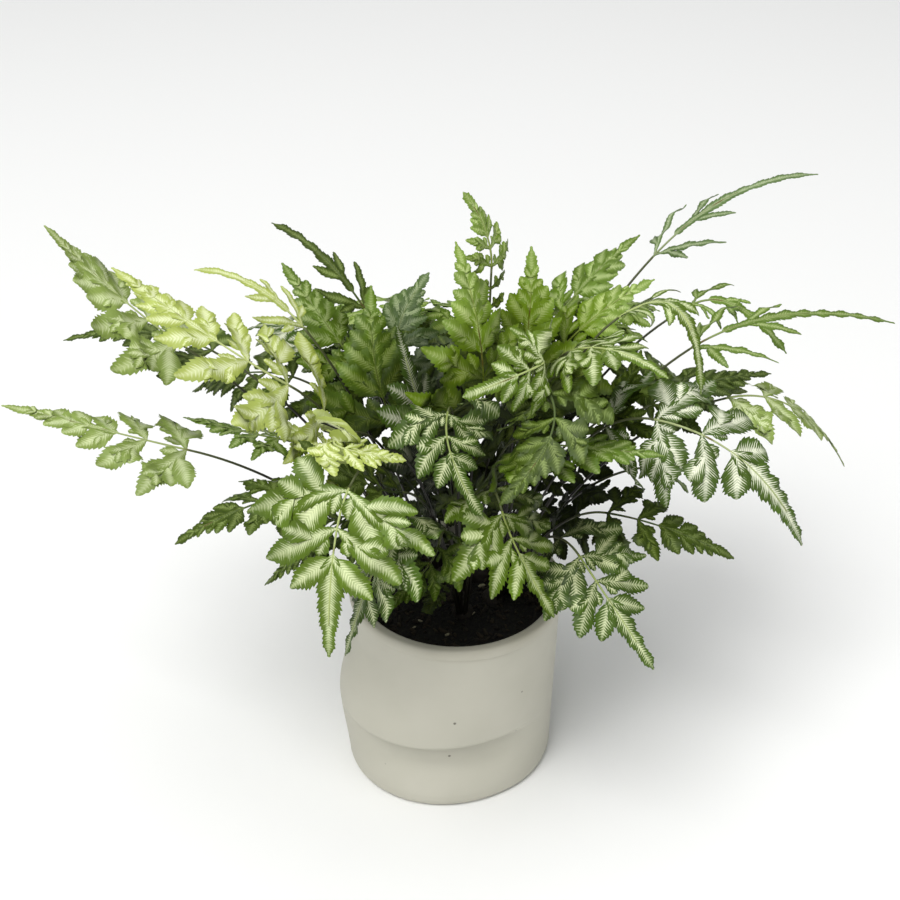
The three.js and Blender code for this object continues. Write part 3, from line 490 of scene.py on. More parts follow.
# The least of a measure and how much chance adds: the fall of a leaflet's tip against its length, and the height of
# its margin's waves, which are RUFFLE_LENGTH apart.
CURL = (0.02, 0.10)
RUFFLE = (0.25, 0.45)
RUFFLE_LENGTH = 9
RACHIS_RADIUS = 0.55
RACHIS_TIP_RADIUS = 0.2
RACHIS_SIDES = 6
COSTA_RADIUS = 0.3        # of a leaflet's own rib
COSTA_SIDES = 5
COSTA_SINK = 0.08         # how far the rib's middle lies below the leaf's
STALK_ROUND = 0.78        # a stalk's real radius at the rootstock
STALK_FLARE = 0.25        # and what it has more right at the foot
STALK_SIDES = 7
KNOB_SIDES = 36


def colour(hex_text):
    """sRGB hex to linear light: ((c + 0.055) / 1.055) ^ 2.4 above 0.04045, and c / 12.92 below."""
    c = np.array([int(hex_text[i:i + 2], 16) for i in (1, 3, 5)]) / 255
    return tuple(np.where(c > 0.04045, ((c + 0.055) / 1.055) ** 2.4, c / 12.92)) + (1.0,)


# ---- meshes ----
class Skin:
    """Points, faces and facts of one piece, gathered part by part."""

    def __init__(self):
        self.points, self.faces, self.facts, self.rims, self.count = [], [], [], [], 0

    def add(self, points, faces, rim=None, **facts):
        """Adds a part. A fact is one value, or one for each point; rim marks the points of its sharp edges."""
        n = len(points)
        self.points.append(points)
        self.faces += [f + self.count for f in faces]
        self.facts.append({k: np.broadcast_to(np.asarray(v, float), (n,)) for k, v in facts.items()})
        self.rims.append(np.zeros(n, bool) if rim is None else rim)
        self.count += n

    def finish(self, name, material, slot, replaced):
        """The object, at the origin, in metres."""
        mesh = bpy.data.meshes.new(name)
        points = np.concatenate(self.points) * MM
        corners = np.concatenate([f.ravel() for f in self.faces])
        totals = np.concatenate([np.full(len(f), f.shape[1]) for f in self.faces])
        mesh.vertices.add(len(points))
        mesh.vertices.foreach_set("co", points.astype(np.float32).ravel())
        mesh.loops.add(len(corners))
        mesh.loops.foreach_set("vertex_index", corners.astype(np.int32))
        mesh.polygons.add(len(totals))
        mesh.polygons.foreach_set("loop_start", np.concatenate([[0], np.cumsum(totals)[:-1]]).astype(np.int32))
        mesh.update(calc_edges=True)
        if mesh.validate():
            raise RuntimeError(name + " has faces that can't be used")
        mesh.shade_smooth()
        for key in self.facts[0]:
            layer = mesh.attributes.new(key, "FLOAT", "POINT")
            layer.data.foreach_set("value", np.concatenate([f[key] for f in self.facts]).astype(np.float32))
        rim = np.concatenate(self.rims)
        if rim.any():
            ends = np.empty(len(mesh.edges) * 2, np.int32)
            mesh.edges.foreach_get("vertices", ends)
            sharp = mesh.attributes.new("sharp_edge", "BOOLEAN", "EDGE")
            sharp.data.foreach_set("value", rim[ends.reshape(-1, 2)].all(1))
        mesh.materials.append(material)
        obj = bpy.data.objects.new(name, mesh)
        bpy.context.scene.collection.objects.link(obj)
        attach(obj, "root")
        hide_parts(*replaced)
        return obj


def tube_faces(rings, sides):
    """Quads between neighbouring rings, each running anticlockwise seen from the far end, and a fan at each end."""
    i = np.arange(rings - 1)[:, None] * sides
    j = np.arange(sides)[None, :]
    k = (j + 1) % sides
    walls = np.stack([i + j, i + k, i + sides + k, i + sides + j], -1).reshape(-1, 4)
    j, k = j[0], k[0]
    start, end, last = rings * sides, rings * sides + 1, (rings - 1) * sides
    fans = np.concatenate([np.stack([np.full(sides, start), k, j], -1),
                           np.stack([np.full(sides, end), last + j, last + k], -1)])
    return [walls, fans]


def tube(centres, slopes, radii, sides, groove=0.0, up=(0.31, -0.17, 0.2)):
    """A round rod carried along a path: centre + r (cos a * across + sin a * over), with the radius less
    groove * exp(-(a - 90 degrees)^2 / 0.25) on its upper side."""
    a = 2 * math.pi * np.arange(sides) / sides
    across = unit(np.cross(np.broadcast_to(up, slopes.shape), slopes))
    over = np.cross(slopes, across)
    r = radii[:, None] * (1 - groove * np.exp(-((a - math.pi / 2) ** 2) / 0.25))[None, :]
    ring = (across[:, None, :] * np.cos(a)[None, :, None] + over[:, None, :] * np.sin(a)[None, :, None])
    points = centres[:, None, :] + ring * r[..., None]
    return np.concatenate([points.reshape(-1, 3), centres[:1], centres[-1:]]), tube_faces(len(centres), sides)


def lens(top, under, tip):
    """A thin closed leaf: an upper and a lower grid that share their root row, both margins and the tip."""
    rows, columns = top.shape[:2]
    upper = np.arange(rows * columns).reshape(rows, columns)
    pole = rows * columns
    lower = upper.copy()
    lower[1:, 1:-1] = pole + 1 + np.arange((rows - 1) * (columns - 2)).reshape(rows - 1, columns - 2)
    quads, fans = [], []
    for grid, way in ((upper, 1), (lower, -1)):
        quad = np.stack([grid[:-1, :-1], grid[1:, :-1], grid[1:, 1:], grid[:-1, 1:]], -1).reshape(-1, 4)
        fan = np.stack([grid[-1, :-1], np.full(columns - 1, pole), grid[-1, 1:]], -1)
        quads.append(quad[:, ::way])
        fans.append(fan[:, ::way])
    points = np.concatenate([top.reshape(-1, 3), tip[None], under[1:, 1:-1].reshape(-1, 3)])
    rim = np.zeros(len(points), bool)
    rim[upper[:, 0]] = rim[upper[:, -1]] = rim[upper[0]] = rim[pole] = True

    def spread(values, at_tip):
        """A value for each grid place, laid out as the points are."""
        values = np.broadcast_to(values, (rows, columns))
        return np.concatenate([values.ravel(), [at_tip], values[1:, 1:-1].ravel()])

    return points, [np.concatenate(quads), np.concatenate(fans)], rim, spread


# ---- leaflets ----
def sawtooth(phase):
    """Rises evenly to 1 at TOOTH_PEAK of a tooth, and falls to 0 at its end."""
    return np.where(phase < TOOTH_PEAK, phase / TOOTH_PEAK, (1 - phase) / (1 - TOOTH_PEAK))


def fine_half_width(leaflet, t, widen):
    """A side leaflet: widen * width * sin(pi t^p)^0.58 * (1 - 0.22 t^2), with p larger where the leaflet has lobes
    of its own, so that its foot is slimmer, and 0.62 for a lobe. The end leaflet: widen * full * width
    * (1 - u)^0.75 * (1 - exp(-u / 0.05)), where u runs from its neck to its tip, and a wing below that. Either is
    pinched by depth * (1 - t) * cos^2 every LOBE mm, and is never less than its rib or wing."""
    if leaflet["end"]:
        u = np.clip((t - leaflet["neck"]) / (1 - leaflet["neck"]), 0, 1)
        swell = leaflet["full"] * (1 - u) ** 0.75 * (1 - np.exp(-u / 0.05))
        depth = END_PINCH
    else:
        power = 0.9 + 0.6 * leaflet["neck"] if leaflet["main"] and leaflet["rank"] < 2 else 0.62
        swell = np.maximum(np.sin(math.pi * t ** power), 0) ** 0.58 * (1 - 0.22 * t * t)
        depth = SIDE_PINCH
    pinch = 1 - depth * (1 - t) * np.cos(math.pi * t * leaflet["long"] / LOBE) ** 2
    wing = (WING if leaflet["end"] else RIB_HALF_WIDTH) * np.clip((1 - t) * 8, 0.2, 1)
    return np.maximum(wing, widen * leaflet["width"] * swell * pinch)


def lobe(parent, at, degrees, long):
    """A fine lobe of a leaflet: it leaves the rib at a place, turned by some degrees."""
    return dict(parent, origin=leaflet_point(parent, at, 0.0), angle=parent["angle"] + degrees * RAD, long=long,
                width=LOBE_WIDTH * long, neck=0.0, bow=BOW, end=False, main=False)


def fine_leaflets(line, draws):
    """The CAD blade's leaflets with the finer lobes of LOBES on their ribs, and in the thick of the plant pairs on
    the stalk below. The end leaflet starts lower: in the long manner it grows together with the third pair there,
    and in the cut manner it is a wing of the midrib and carries END_LOBES."""
    leaflets = leaflets_of(line)
    end, size, spread = leaflets.pop(), line.size, line.frond["spread"]
    manner = "long" if line.look in LONG_ENDED else "cut"
    if manner == "cut":
        for one in leaflets:
            one["width"] = one["width"] * CUT_WIDTH
    if line.frond["kind"] != "narrow":
        for one in [leaflet for leaflet in leaflets if leaflet["main"]]:
            for at, forward, turn, share in LOBES[manner][one["rank"]]:
                long = share * size * spread * about_one(draws)
                turn = turn + 10 * (next(draws) - 0.5)
                leaflets.append(lobe(one, at, -one["side"] * forward * turn, long))
        for at, share, turn in END_LOBES if manner == "cut" else ():
            for side in (1, -1):
                long = share * end["long"] * spread * about_one(draws)
                turn = turn + 8 * (next(draws) - 0.5)
                leaflets.append(dict(lobe(end, at, side * turn, long), side=side))
        reach = math.hypot(line.frond["base"][0] - CROWN_CENTRE[0], line.frond["base"][1] - CROWN_CENTRE[1])
        for below, share, turn in LOW_PAIRS[:sum(reach < limit for limit in LOW_REACH)]:
            for side in (1, -1):
                low = dict(leaflets[0], origin=(below * size, 0.0), angle=side * turn * RAD, side=side,
                           long=share * size * spread, neck=0.2)
                leaflets.append(low)
                for at, forward, lean, part in LOBES["cut"][1]:
                    long = part * size * spread * about_one(draws)
                    leaflets.append(lobe(low, at, -side * forward * lean, long))
    lower = WING_LENGTH * size
    neck = 0.0 if manner == "long" else lower / (end["long"] + lower)
    full = END_WIDTH[manner] * (NARROW_END if line.frond["kind"] == "narrow" else 1)
    leaflets.append(dict(end, origin=(end["origin"][0] - lower, 0.0), long=end["long"] + lower, neck=neck, full=full))
    return leaflets


def outwardness(points):
    """0 in the thick of the plant to 1 at its outside: a smooth step of the distance from CORE, with heights
    counted CORE_FLAT times as much."""
    away = np.sqrt((points[:, 0] - CORE[0]) ** 2 + (points[:, 1] - CORE[1]) ** 2
                   + (CORE_FLAT * (points[:, 2] - CORE[2])) ** 2)
    return step(CORE_REACH[0], CORE_REACH[1], away)


def add_leaflet(skin, line, leaflet, widen, draws):
    """One toothed, veined leaflet on the frond's sheet.

    A row follows a vein: it starts t of the way along the midrib and runs forward VEIN_LEAN mm for each mm out.
    Height over the sheet = FOLD |b| - FALL b^2 + QUILT between the veins - b sin(tilt) - curl t^2 long
    + ruffle v^2 sin(2 pi a / RUFFLE_LENGTH), with b mm out from the midrib, v the share of the half width and a mm
    along."""
    long = leaflet["long"]
    teeth = max(3, round(long / TOOTH_PITCH))
    s = (np.arange(teeth)[:, None] + TOOTH_ROWS).ravel()
    t = s / teeth
    half = fine_half_width(leaflet, t, widen)
    v = (COLUMNS if leaflet["main"] else LOBE_COLUMNS)[None, :]
    tooth = TOOTH_DEPTH * sawtooth(s % 1) * np.clip(half / 4, 0.25, 1)
    b = v * half[:, None] + np.sign(v) * np.abs(v) ** 3 * tooth[:, None]
    a = (t * long)[:, None] + VEIN_LEAN * np.abs(b) * (1 - t ** 4)[:, None]
    lean = SHINGLE + LEAN_SPREAD * (next(draws) - 0.5)
    tilt = leaflet["side"] * lean * (1.0 if leaflet["main"] else 0.3) * RAD
    curl = (CURL[0] + CURL[1] * next(draws)) * (0.3 if leaflet["end"] else 1)
    ruffle = RUFFLE[0] + RUFFLE[1] * next(draws)
    turn = 2 * math.pi * next(draws)
    tint = next(draws)
    fade = np.sin(math.pi * np.clip(t, 0, 1))[:, None] ** 0.5
    h = FOLD * np.abs(b) - FALL * b * b
    h = h + QUILT * np.abs(np.cos(VEINS_PER_TOOTH * math.pi * s))[:, None] * fade * (1 - v ** 2) * np.abs(v) * 4
    h = h - b * math.sin(tilt) * fade - curl * (t ** 2)[:, None] * long
    h = h + ruffle * v ** 2 * fade * np.sin(2 * math.pi * a / RUFFLE_LENGTH + turn + (v > 0) * 1.9)
    x, y = leaflet_point(leaflet, a / long, b)
    ground = line.sheet(x, y)
    normal = line.normal(x, y)
    thick = LEAF_THICKNESS / 2 * np.sqrt(1 - v ** 2) * np.ones_like(h)
    tip_x, tip_y = leaflet_point(leaflet, 1.0, 0.0)
    tip = line.sheet(tip_x, tip_y) - line.normal(tip_x, tip_y) * curl * long
    top = ground + normal * (h + thick)[..., None]
    under = ground + normal * (h - thick)[..., None]
    points, faces, rim, spread = lens(top, under, tip)
    below = np.zeros(len(points))
    below[top.shape[0] * top.shape[1] + 1:] = 1
    # outer runs from 0 in the thick of the plant to 1 outside it, and sets how much painted shade the leaf gets.
    skin.add(points, faces, rim, vein=spread(VEINS_PER_TOOTH * s[:, None], VEINS_PER_TOOTH * teeth),
             across=spread(v, 0.0), reach=spread(t[:, None], 1.0), tint=tint, under=below, stem=0.0,
             outer=outwardness(points))
    w = np.linspace(0, 0.94, max(5, int(long / 2.5)))
    rx, ry = leaflet_point(leaflet, w, 0 * w)
    middle = np.interp(w, t, h[:, h.shape[1] // 2]) - COSTA_SINK
    radii = COSTA_RADIUS * (1.2 if leaflet["main"] else 0.85) * (1 - 0.75 * w)
    add_rib(skin, line.sheet(rx, ry) + line.normal(rx, ry) * middle[:, None], radii, COSTA_SIDES, w, tint, 0.6)


def add_rib(skin, centres, radii, sides, share, tint, stem):
    """A rod through centres, each of them a share of its leaf's length along."""
    rod, walls = tube(centres, unit(np.gradient(centres, axis=0)), radii, sides)
    skin.add(rod, walls, vein=0.0, across=0.0, reach=np.append(np.repeat(share, sides), [0, 1]), tint=tint, under=0.0,
             stem=stem, outer=outwardness(rod))


def add_rachis(skin, line):
    """The stalk's way through its blade: a rod along the sheet's midline that thins towards the tip."""
    x = np.arange(0, line.size * (KINDS[line.frond["kind"]]["from"] + 0.28), 2.0)
    share = x / line.size
    radii = RACHIS_RADIUS + (RACHIS_TIP_RADIUS - RACHIS_RADIUS) * share
    add_rib(skin, line.sheet(x, 0 * x), radii, RACHIS_SIDES, share, 0.5, 1.0)


# ---- pot ----
RECESS_HALF = 78.0            # degrees from the recess's middle to either end
CREASE = (43.0, 37.0)         # heights between which the wall steps in under the crease
RECESS_FOOT = (6.0, 27.0)     # and between which it draws in above the foot
BULGE_HALF = 95.0             # degrees from the swelling's middle to either end
BULGE_RISE = (84.0, 44.0)     # heights between which it swells out
FOOT_TUCK = 0.3               # share of it taken back from 40 mm up down to the foot
POT_SIDES = 288
PARTS = 4                     # of each stretch of the pot's rounded outlines


def near_to(azimuth, degrees, half):
    """cos^2 of the turn from a direction, falling to 0 at half degrees from it."""
    turn = np.abs((azimuth / RAD - degrees + 180) % 360 - 180)
    return np.where(turn >= half, 0, np.cos(np.minimum(turn, half) / half * math.pi / 2) ** 2)


def step(start, end, value):
    """3 t^2 - 2 t^3 from start to end."""
    t = np.clip((value - start) / (end - start), 0, 1)
    return t * t * (3 - 2 * t)


def pot_radius(azimuth, z):
    """The tapering wall, less the recess under its crease, plus the swelling at the foot."""
    wall = FOOT_RADIUS + (NECK_RADIUS - FOOT_RADIUS) * z / POT_HEIGHT
    recess = RECESS_DEPTH * near_to(azimuth, RECESS_AZIMUTH, RECESS_HALF) * step(*CREASE, z) * step(*RECESS_FOOT, z)
    swell = BULGE * near_to(azimuth, BULGE_AZIMUTH, BULGE_HALF) * step(*BULGE_RISE, z)
    return wall - recess + swell * (1 - FOOT_TUCK * step(40, 0, z))


def rounded(points, parts):
    """A smooth curve through points: the cubic whose slope at each is half the way between its neighbours."""
    p = np.asarray(points, float)
    p = np.concatenate([2 * p[:1] - p[1:2], p, 2 * p[-1:] - p[-2:-1]])
    t = (np.arange(parts) / parts)[None, :, None]
    a, b, c, d = (p[k:len(p) - 3 + k, None, :] for k in range(4))
    curve = 0.5 * (2 * b + (c - a) * t + (2 * a - 5 * b + 4 * c - d) * t ** 2 + (3 * b - a - 3 * c + d) * t ** 3)
    return np.concatenate([curve.reshape(-1, p.shape[1]), p[-2:-1]])


def round_by(sides):
    """The azimuths of a ring's points."""
    return 2 * math.pi * np.arange(sides) / sides


def turned(radius, azimuth, z, ends, centre=(0.0, 0.0)):
    """Rings round an upright axis, (x + r cos a, y + r sin a, z), and a point on the axis at each end's height."""
    radius, azimuth, z = np.broadcast_arrays(radius, azimuth, z)
    rings = np.stack([centre[0] + radius * np.cos(azimuth), centre[1] + radius * np.sin(azimuth), z], -1)
    middles = np.array([[*centre, end] for end in ends])
    return np.concatenate([rings.reshape(-1, 3), middles]), tube_faces(*radius.shape)


def pot_skin():
    """Rings carried round the axis: the foot's rounding and the wall from pot_radius, then the rolled rim and
    the inside, whose rings are round."""
    azimuth = round_by(POT_SIDES)
    foot = rounded([(0.0, 4.5), (0.25, 2.9), (1.1, 1.5), (2.4, 0.5), (4.2, 0.0), (5.5, 0.0)], PARTS)
    z = np.concatenate([foot[:, 0], np.arange(7.0, POT_HEIGHT - 8, 1.0)])
    less = np.concatenate([foot[:, 1], np.zeros(len(z) - len(foot))])
    outside = pot_radius(azimuth[None, :], z[:, None]) - less[:, None]
    rim = rounded([(NECK_RADIUS - 0.18, POT_HEIGHT - 7.6), (NECK_RADIUS - 0.05, POT_HEIGHT - 6.5),
                   (RIM_RADIUS - 0.45, POT_HEIGHT - 5.7), (RIM_RADIUS - 0.1, POT_HEIGHT - 4.6),
                   (RIM_RADIUS, POT_HEIGHT - 2.4), (RIM_RADIUS - 0.45, POT_HEIGHT - 0.7),
                   (RIM_RADIUS - 1.5, POT_HEIGHT), (MOUTH_RADIUS + 0.3, POT_HEIGHT),
                   (MOUTH_RADIUS - 0.8, POT_HEIGHT - 0.7), (MOUTH_RADIUS - 1.1, POT_HEIGHT - 2.2),
                   (MOUTH_RADIUS - 0.9, 94.0), (MOUTH_RADIUS - 0.5, 84.0), (MOUTH_RADIUS - 2.0, 66.0),
                   (MOUTH_RADIUS - 3.6, 47.0), (MOUTH_RADIUS - 10.4, 40.2), (MOUTH_RADIUS - 12.0, 14.0),
                   (MOUTH_RADIUS - 12.5, 6.5), (MOUTH_RADIUS - 14.0, FLOOR_THICKNESS)], PARTS)
    radius = np.concatenate([outside, np.broadcast_to(rim[:, :1], (len(rim), POT_SIDES))])
    skin = Skin()
    skin.add(*turned(radius, azimuth, np.concatenate([z, rim[:, 1]])[:, None], (0.0, FLOOR_THICKNESS)))
    return skin


# ---- soil ----
SOIL_SIDES = 180
SOIL_RINGS = 62
CHIPS = 420
CHIP_SIDES = 6
CHIP_ALONG = np.array([-0.9, -0.5, 0.4, 0.9])     # places of a chip's four rings, and their radii, times its size
CHIP_RADII = np.array([0.35, 0.62, 0.55, 0.25])


def soil_height(x, y):
    """The CAD soil's bumps, falling a little towards the wall."""
    bump = np.sin(0.21 * x + 0.6) * np.cos(0.17 * y - 0.4) + 0.5 * np.sin(0.47 * x - 0.33 * y)
    edge = np.hypot(x, y) / MOUTH_RADIUS
    return SOIL_TOP + SOIL_BUMP * bump * 0.5 * (1 - edge ** 4) - 1.2 * edge ** 4


def crumbs(x, y):
    """Crumbs a few millimetres across: four crossed sine waves, squared off, 1 mm high."""
    waves = (np.sin(1.9 * x + 0.7 * np.sin(1.3 * y)) * np.sin(2.1 * y + 0.8 * np.sin(1.1 * x))
             + 0.6 * np.sin(3.7 * x - 1.2 * y) * np.sin(3.1 * y + 1.7 * x + 0.5))
    return 0.55 * np.tanh(1.8 * waves)


def soil_skin(draws):
    """Rings from the pot's floor up its inside and over a crumbly top to the middle, and loose chips on it."""
    azimuth = round_by(SOIL_SIDES)
    gap = SOIL_GAP * 1.7
    wall = np.array([(MOUTH_RADIUS - 14, FLOOR_THICKNESS + SOIL_GAP), (MOUTH_RADIUS - 10.9, 39.5),
                     (MOUTH_RADIUS - 4.0, 46.4), (MOUTH_RADIUS - 0.9, 84.0)]) - [gap, 0]
    reach = ((MOUTH_RADIUS - gap - 0.3) * np.linspace(1, 0.015, SOIL_RINGS))[:, None]
    x, y = reach * np.cos(azimuth), reach * np.sin(azimuth)
    top = soil_height(x, y) + crumbs(x, y) * np.clip((MOUTH_RADIUS - reach) / 4, 0.1, 1)
    z = np.concatenate([np.broadcast_to(wall[:, 1:], (len(wall), SOIL_SIDES)), top])
    ends = (FLOOR_THICKNESS + SOIL_GAP, top[-1].mean())
    skin = Skin()
    skin.add(*turned(np.concatenate([wall[:, :1], reach]), azimuth, z, ends), chip=0.0)
    draw = np.array([next(draws) for _ in range(CHIPS * 8)]).reshape(CHIPS, 8)
    r, turn = (MOUTH_RADIUS - 4) * np.sqrt(draw[:, 0]), 2 * math.pi * draw[:, 1]
    cx, cy = r * np.cos(turn), r * np.sin(turn)
    size = 0.7 + 1.5 * draw[:, 2] ** 2
    for k in range(CHIPS):
        centre = np.array([cx[k], cy[k], soil_height(cx[k], cy[k]) + 0.5])
        lie = unit(np.array([draw[k, 3] - 0.5, draw[k, 4] - 0.5, 0.3 * (draw[k, 5] - 0.5)]))
        along = CHIP_ALONG * size[k] * (1 + draw[k, 6])
        points, faces = tube(centre + lie * along[:, None], np.tile(lie, (4, 1)), CHIP_RADII * size[k], CHIP_SIDES,
                             0.25)
        skin.add(points, faces, chip=0.15 + 0.85 * draw[k, 7])
    return skin


# ---- rootstocks and stalks ----
def rootstock_skin(index, lines):
    """A scaly knob, its radius waved round and down, with the stalks that rise from it."""
    azimuth = round_by(KNOB_SIDES)
    profile = rounded([(0.72, SOIL_TOP - CROWN_DEPTH), (0.93, SOIL_TOP - CROWN_DEPTH + 2.5), (0.95, SOIL_TOP - 2),
                       (0.93, SOIL_TOP + 0.8), (0.84, SOIL_TOP + 2.6), (0.62, SOIL_TOP + 4.0),
                       (0.25, SOIL_TOP + CROWN_RISE)], 5)
    z = profile[:, 1:]
    lump = 1 - 0.14 * (0.5 + 0.5 * np.sin(3 * azimuth + index * 1.7 + z)) * step(SOIL_TOP, SOIL_TOP + 3, z)
    scale = 1 + 0.05 * np.sin(9 * azimuth + 4 * z) * np.sin(7 * azimuth - 5 * z)
    radius = CROWN_RADIUS * profile[:, :1] * lump * scale
    skin = Skin()
    skin.add(*turned(radius, azimuth, z, (z[0, 0], z[-1, 0]), CROWNS[index]), up=-1.0)
    for line in lines:
        along = np.linspace(0, line.start, max(12, int(line.start / 2.5)))
        centres, slopes = line.place(along)
        share = along / line.start
        radii = STALK_ROUND + (RACHIS_RADIUS - STALK_ROUND) * share + STALK_FLARE * np.exp(-along / 5)
        points, faces = tube(centres, slopes, radii, STALK_SIDES, 0.18)
        skin.add(points, faces, up=np.append(np.repeat(share, STALK_SIDES), [0, 1]))
    return skin


# ---- finishes ----
def node(tree, kind, links=None, out=None, **settings):
    """Adds one node, with a value or another node's output for each input in links. Gives its output called out,
    or else the first that is in use."""
    made = tree.nodes.new("ShaderNode" + kind)
    for key, value in settings.items():
        setattr(made, key, value)
    for key, value in (links or {}).items():
        if isinstance(value, bpy.types.NodeSocket):
            tree.links.new(value, made.inputs[key])
        else:
            made.inputs[key].default_value = value
    return made.outputs[out] if out else next((one for one in made.outputs if one.enabled), None)


def blank(name):
    """A material with an empty tree, and the tree."""
    material = bpy.data.materials.new(name)
    material.use_nodes = True
    material.node_tree.nodes.clear()
    return material, material.node_tree


# Five colours of a leaflet; how far out its pale band and its longest pale line reach, as shares of the half width;
# how softly the band ends; and the leaflet's fullness, against the CAD's.
Look = collections.namedtuple("Look", "margin middle feathering rib underside band line soft fullness")
LEAF_PARTS = Look._fields[:5]
LOOKS = {
    "silver": Look("#4b611a", "#5e7628", "#dae3b4", "#aebb7c", "#7c8a54", 0.30, 0.80, 0.50, 1.18),
    "edged": Look("#384c17", "#4a6224", "#eff1da", "#aab582", "#66764a", 0.22, 0.90, 0.36, 1.20),
    "dark": Look("#354a15", "#48601f", "#e2e8be", "#a2b074", "#5e7040", 0.15, 0.90, 0.40, 1.10),
    "mid": Look("#516926", "#678035", "#b2c186", "#84945a", "#6c7c46", 0.22, 0.74, 0.60, 1.12),
    "deep": Look("#344615", "#48591c", "#85955a", "#56653a", "#56663a", 0.20, 0.70, 0.60, 1.08),
    "grey": Look("#4a6232", "#64794a", "#b2bf98", "#8b976c", "#748456", 0.28, 0.74, 0.50, 1.18),
    "pale": Look("#748744", "#889a54", "#ccd6a8", "#a2ae76", "#8c9a62", 0.28, 0.80, 0.50, 1.32),
    "bright": Look("#66802f", "#7e9648", "#bccb8c", "#95a45e", "#809050", 0.24, 0.76, 0.60, 1.18),
    "gold": Look("#8f9f4a", "#aab664", "#dee5b8", "#b9c384", "#a8b470", 0.30, 0.80, 0.55, 1.0),
}
VEIN_NOISE = 420.0      # per metre: cells about 2.4 mm, the length over which a feather frays
BLOTCH_NOISE = 70.0     # per metre: patches about 14 mm, paler and darker parts of a frond
GRAIN_NOISE = 1600.0    # per metre: 0.6 mm, coarser than real leaf cells so that it shows


